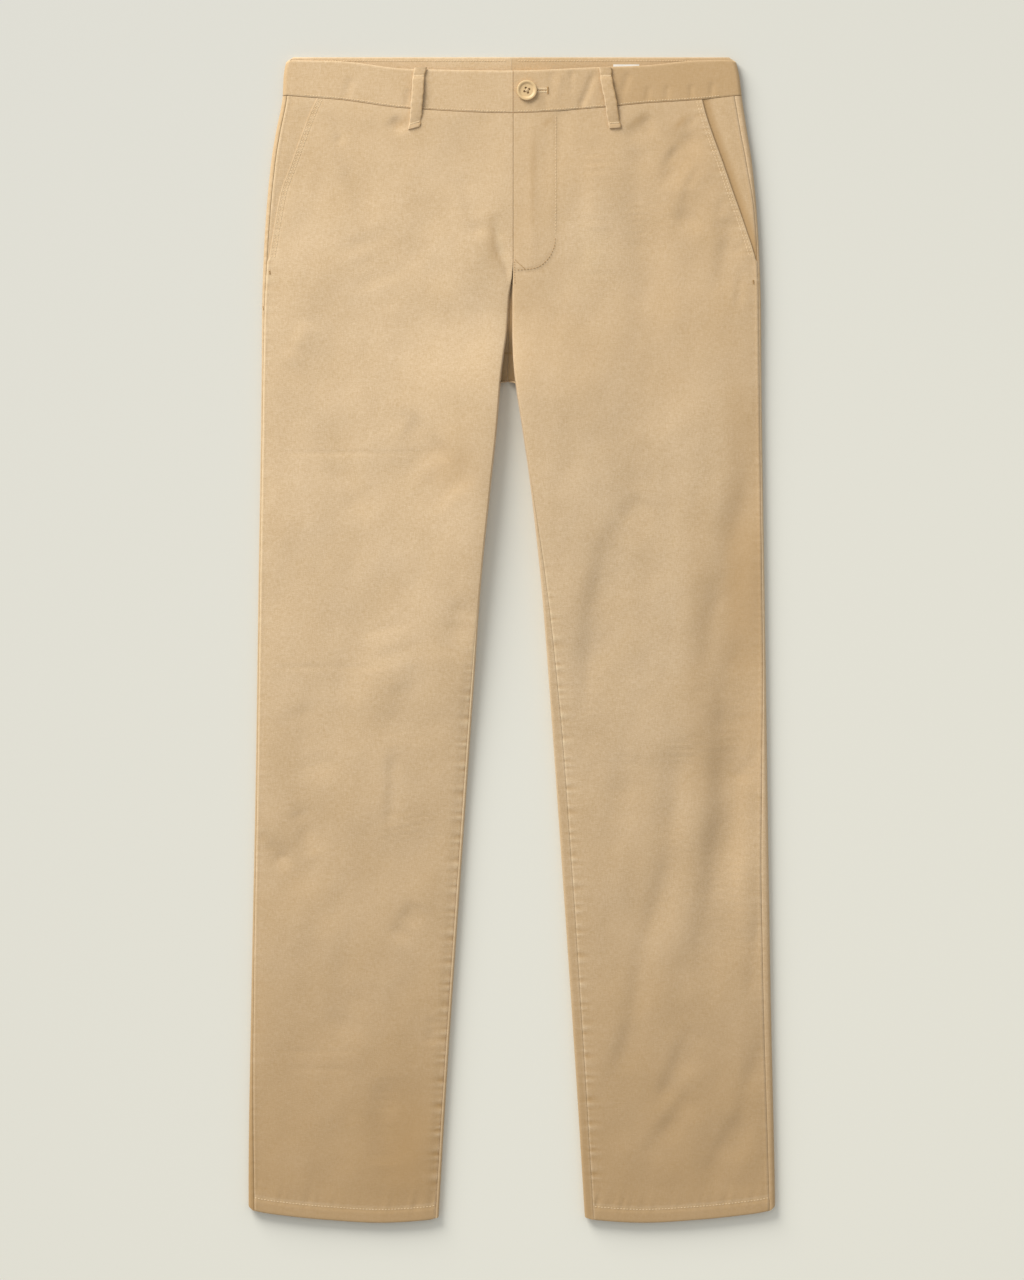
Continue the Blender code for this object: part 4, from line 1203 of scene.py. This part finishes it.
def waistButton():
    middle = Vector((button["x"], yAt(button["drop"]), 0))
    base = float(bandTop(button["x"])) + button["seat"]
    top = base + button["thick"]
    selectOnly()
    bpy.ops.mesh.primitive_cylinder_add(
        vertices=64, radius=button["radius"], depth=button["thick"],
        location=(middle.x, middle.y, base + button["thick"] / 2),
    )
    piece = bpy.context.object
    piece.name = piece.data.name = "waistButton"
    bpy.ops.object.transform_apply(location=True, rotation=True, scale=True)
    setMode("EDIT")
    bpy.ops.mesh.select_all(action="DESELECT")
    setMode("OBJECT")
    for face in piece.data.polygons:
        face.select = face.normal.z > 0.9 and face.center.z > top - 0.1 * mm and len(face.vertices) > 8
    setMode("EDIT")
    bpy.ops.mesh.inset(thickness=button["rim"] * 0.55)  # the rounded rim
    bpy.ops.mesh.inset(thickness=button["rim"] * 0.45)
    bpy.ops.transform.translate(value=(0, 0, -button["dish"]))
    bpy.ops.mesh.inset(thickness=0.5 * mm)
    bpy.ops.mesh.select_all(action="DESELECT")
    setMode("OBJECT")
    rounded = piece.modifiers.new("Rounded", "BEVEL")
    rounded.width = button["edge"]
    rounded.segments = 4
    rounded.limit_method = "ANGLE"
    rounded.angle_limit = math.radians(25)
    applyAll(piece)
    for k in range(4):
        angle = button["turn"] + k * math.pi / 2
        spot = middle + button["spread"] * Vector((math.cos(angle), math.sin(angle), 0))
        selectOnly()
        bpy.ops.mesh.primitive_cylinder_add(
            vertices=20, radius=button["hole"], depth=20 * mm, location=(spot.x, spot.y, top),
        )
        drill = bpy.context.object
        cut = piece.modifiers.new("Hole", "BOOLEAN")
        cut.operation = "DIFFERENCE"
        cut.object = drill
        applyAll(piece)
        bpy.data.objects.remove(drill, do_unlink=True)
    smoothOff(piece, 35)
    dress(piece, "waist_button", corozo)

    beads = []
    for k in range(2):  # thread crosses from hole to hole
        angle = button["turn"] + k * math.pi / 2
        ahead = np.array([math.cos(angle), math.sin(angle), 0])
        reach, beside = ahead * (button["spread"] - 0.4 * mm), np.array([-ahead[1], ahead[0], 0])
        centre = np.array([middle.x, middle.y, top - button["dish"] + 0.35 * mm + 0.25 * mm * k])
        for shift in (-0.2 * mm, 0.2 * mm):
            beads.append((centre - reach + beside * shift, centre + reach + beside * shift))
    sew("buttonThread", beads, wide=0.42 * mm, high=0.5 * mm)
    shank = []
    for k in range(6):
        angle = k * math.pi / 3
        away = button["shank"] * np.array([math.cos(angle), math.sin(angle), 0])
        spot = np.array([middle.x, middle.y, base]) + away
        shank.append((spot - (0, 0, 0.7 * mm), spot + (0.3 * mm, 0, 0.6 * mm)))
    sew("buttonShank", shank, wide=0.6 * mm, high=0.6 * mm)


buttonhole()
waistButton()
print("button made")


# ---- label and zip

label = {"left": 95.2 * mm, "width": 24.4 * mm, "top": 7.0 * mm, "length": 32 * mm, "thick": 0.5 * mm}


def waistLabel():
    x = label["left"] + label["width"] * np.linspace(0, 1, 25)[None, :]
    down = np.linspace(0, 1, 33)[:, None]
    z = 3.4 * mm + 0.5 * mm * np.exp(-down * 8) + 0.1 * mm * np.sin(x * 400)
    points = world(x, label["top"] + label["length"] * down, z)
    piece = sheetPiece("waistLabel", points, thick=label["thick"])
    dress(piece, "waist_label", labelTape)


waistLabel()
zipNode = frame["nodes"]["fly_zip"]
for place in zipNode.material_slots:
    place.material = nylon
print("label and zip made")


# ---- floor, light and camera

studio = {
    "floorNear": "#C4C4BE",  # the board is toned against the lamp's fall-off, so that it looks even
    "floorFar": "#F0EFE4",
    "floorUnder": "#5A5A57",
    "floorSize": 14,
    "floorSink": 0.2 * mm,
    "floorSpan": 0.77,
    "floorCurve": 1.25,
    "floorLit": (2.85, 0.92),  # distances from the lamp's foot where the deepest tone starts and is full
    "lens": 120.0,
    "away": 4.0,
    "aim": (0.0002, -0.0003, 0.007),
    "keyFrom": (-0.515, 0.743, 0.426),
    "keySide": (-0.57, 0.82, 0),  # the lamp's side, along the floor
    "keyAway": 4.0,
    "keySize": 2.6,
    "keyPower": 194,
    "keyColour": (1.0, 0.98, 0.94),
    "skyColour": (0.985, 0.98, 0.965, 1.0),
    "sky": 0.57,
}
keyPlace = Vector(studio["keyFrom"]).normalized() * studio["keyAway"]


def makeFloor():
    selectOnly()
    bpy.ops.mesh.primitive_plane_add(size=studio["floorSize"], location=(0, 0, 0))
    floor = bpy.context.object
    floor.name = "floor"
    for vertex in floor.data.vertices:
        vertex.co.z = -studio["floorSink"]
    material, shader, add = newMaterial("matt painted board", {"Roughness": 0.95, "Specular IOR Level": 0.1})
    place = (add("TexCoord"), "Object")
    dot = {"operation": "DOT_PRODUCT", 1: studio["keySide"]}
    towards = add("VectorMath", dot, {0: place})
    span = studio["floorSpan"]
    near = add("MapRange", {"From Min": -span, "From Max": span}, {"Value": (towards, "Value")})
    power = {"operation": "POWER", 1: studio["floorCurve"]}
    bent = add("Math", power, {0: (near, "Result")})
    tones = {"data_type": "RGBA", 6: toLinear(studio["floorFar"]), 7: toLinear(studio["floorNear"])}
    tone = add("Mix", tones, {0: (bent, "Value")})
    distance = {"operation": "DISTANCE", 1: (keyPlace.x, keyPlace.y, 0)}
    away = add("VectorMath", distance, {0: place})
    start, full = studio["floorLit"]
    under = add("MapRange", {"From Min": start, "From Max": full}, {"Value": (away, "Value")})
    tones = {"data_type": "RGBA", 7: toLinear(studio["floorUnder"])}  # deeper still round the lamp's foot
    even = add("Mix", tones, {0: (under, "Result"), 6: (tone, 2)})
    connect(shader, {"Base Color": (even, 2)})
    floor.data.materials.append(material)


def makeLamp():
    data = bpy.data.lights.new("key", "AREA")
    data.shape = "DISK"
    data.size = studio["keySize"]
    data.energy = studio["keyPower"]
    data.color = studio["keyColour"]
    light = bpy.data.objects.new("key", data)
    light.location = keyPlace
    light.rotation_euler = (-keyPlace).to_track_quat("-Z", "Y").to_euler()
    light.visible_camera = False
    bpy.context.scene.collection.objects.link(light)


def makeCamera():
    data = bpy.data.cameras.new("camera")
    data.lens = studio["lens"]
    data.sensor_width = 36.0
    cameraObject = bpy.data.objects.new("camera", data)
    x, y, z = studio["aim"]
    cameraObject.location = (x, y, z + studio["away"])
    bpy.context.scene.collection.objects.link(cameraObject)
    bpy.context.scene.camera = cameraObject


makeFloor()
makeLamp()
sky = bpy.data.worlds.new("studio")
bpy.context.scene.world = sky
sky.use_nodes = True
background = sky.node_tree.nodes["Background"]
background.inputs["Color"].default_value = studio["skyColour"]
background.inputs["Strength"].default_value = studio["sky"]
bpy.context.scene.view_settings.view_transform = "Standard"
makeCamera()
print("floor, light and camera made")
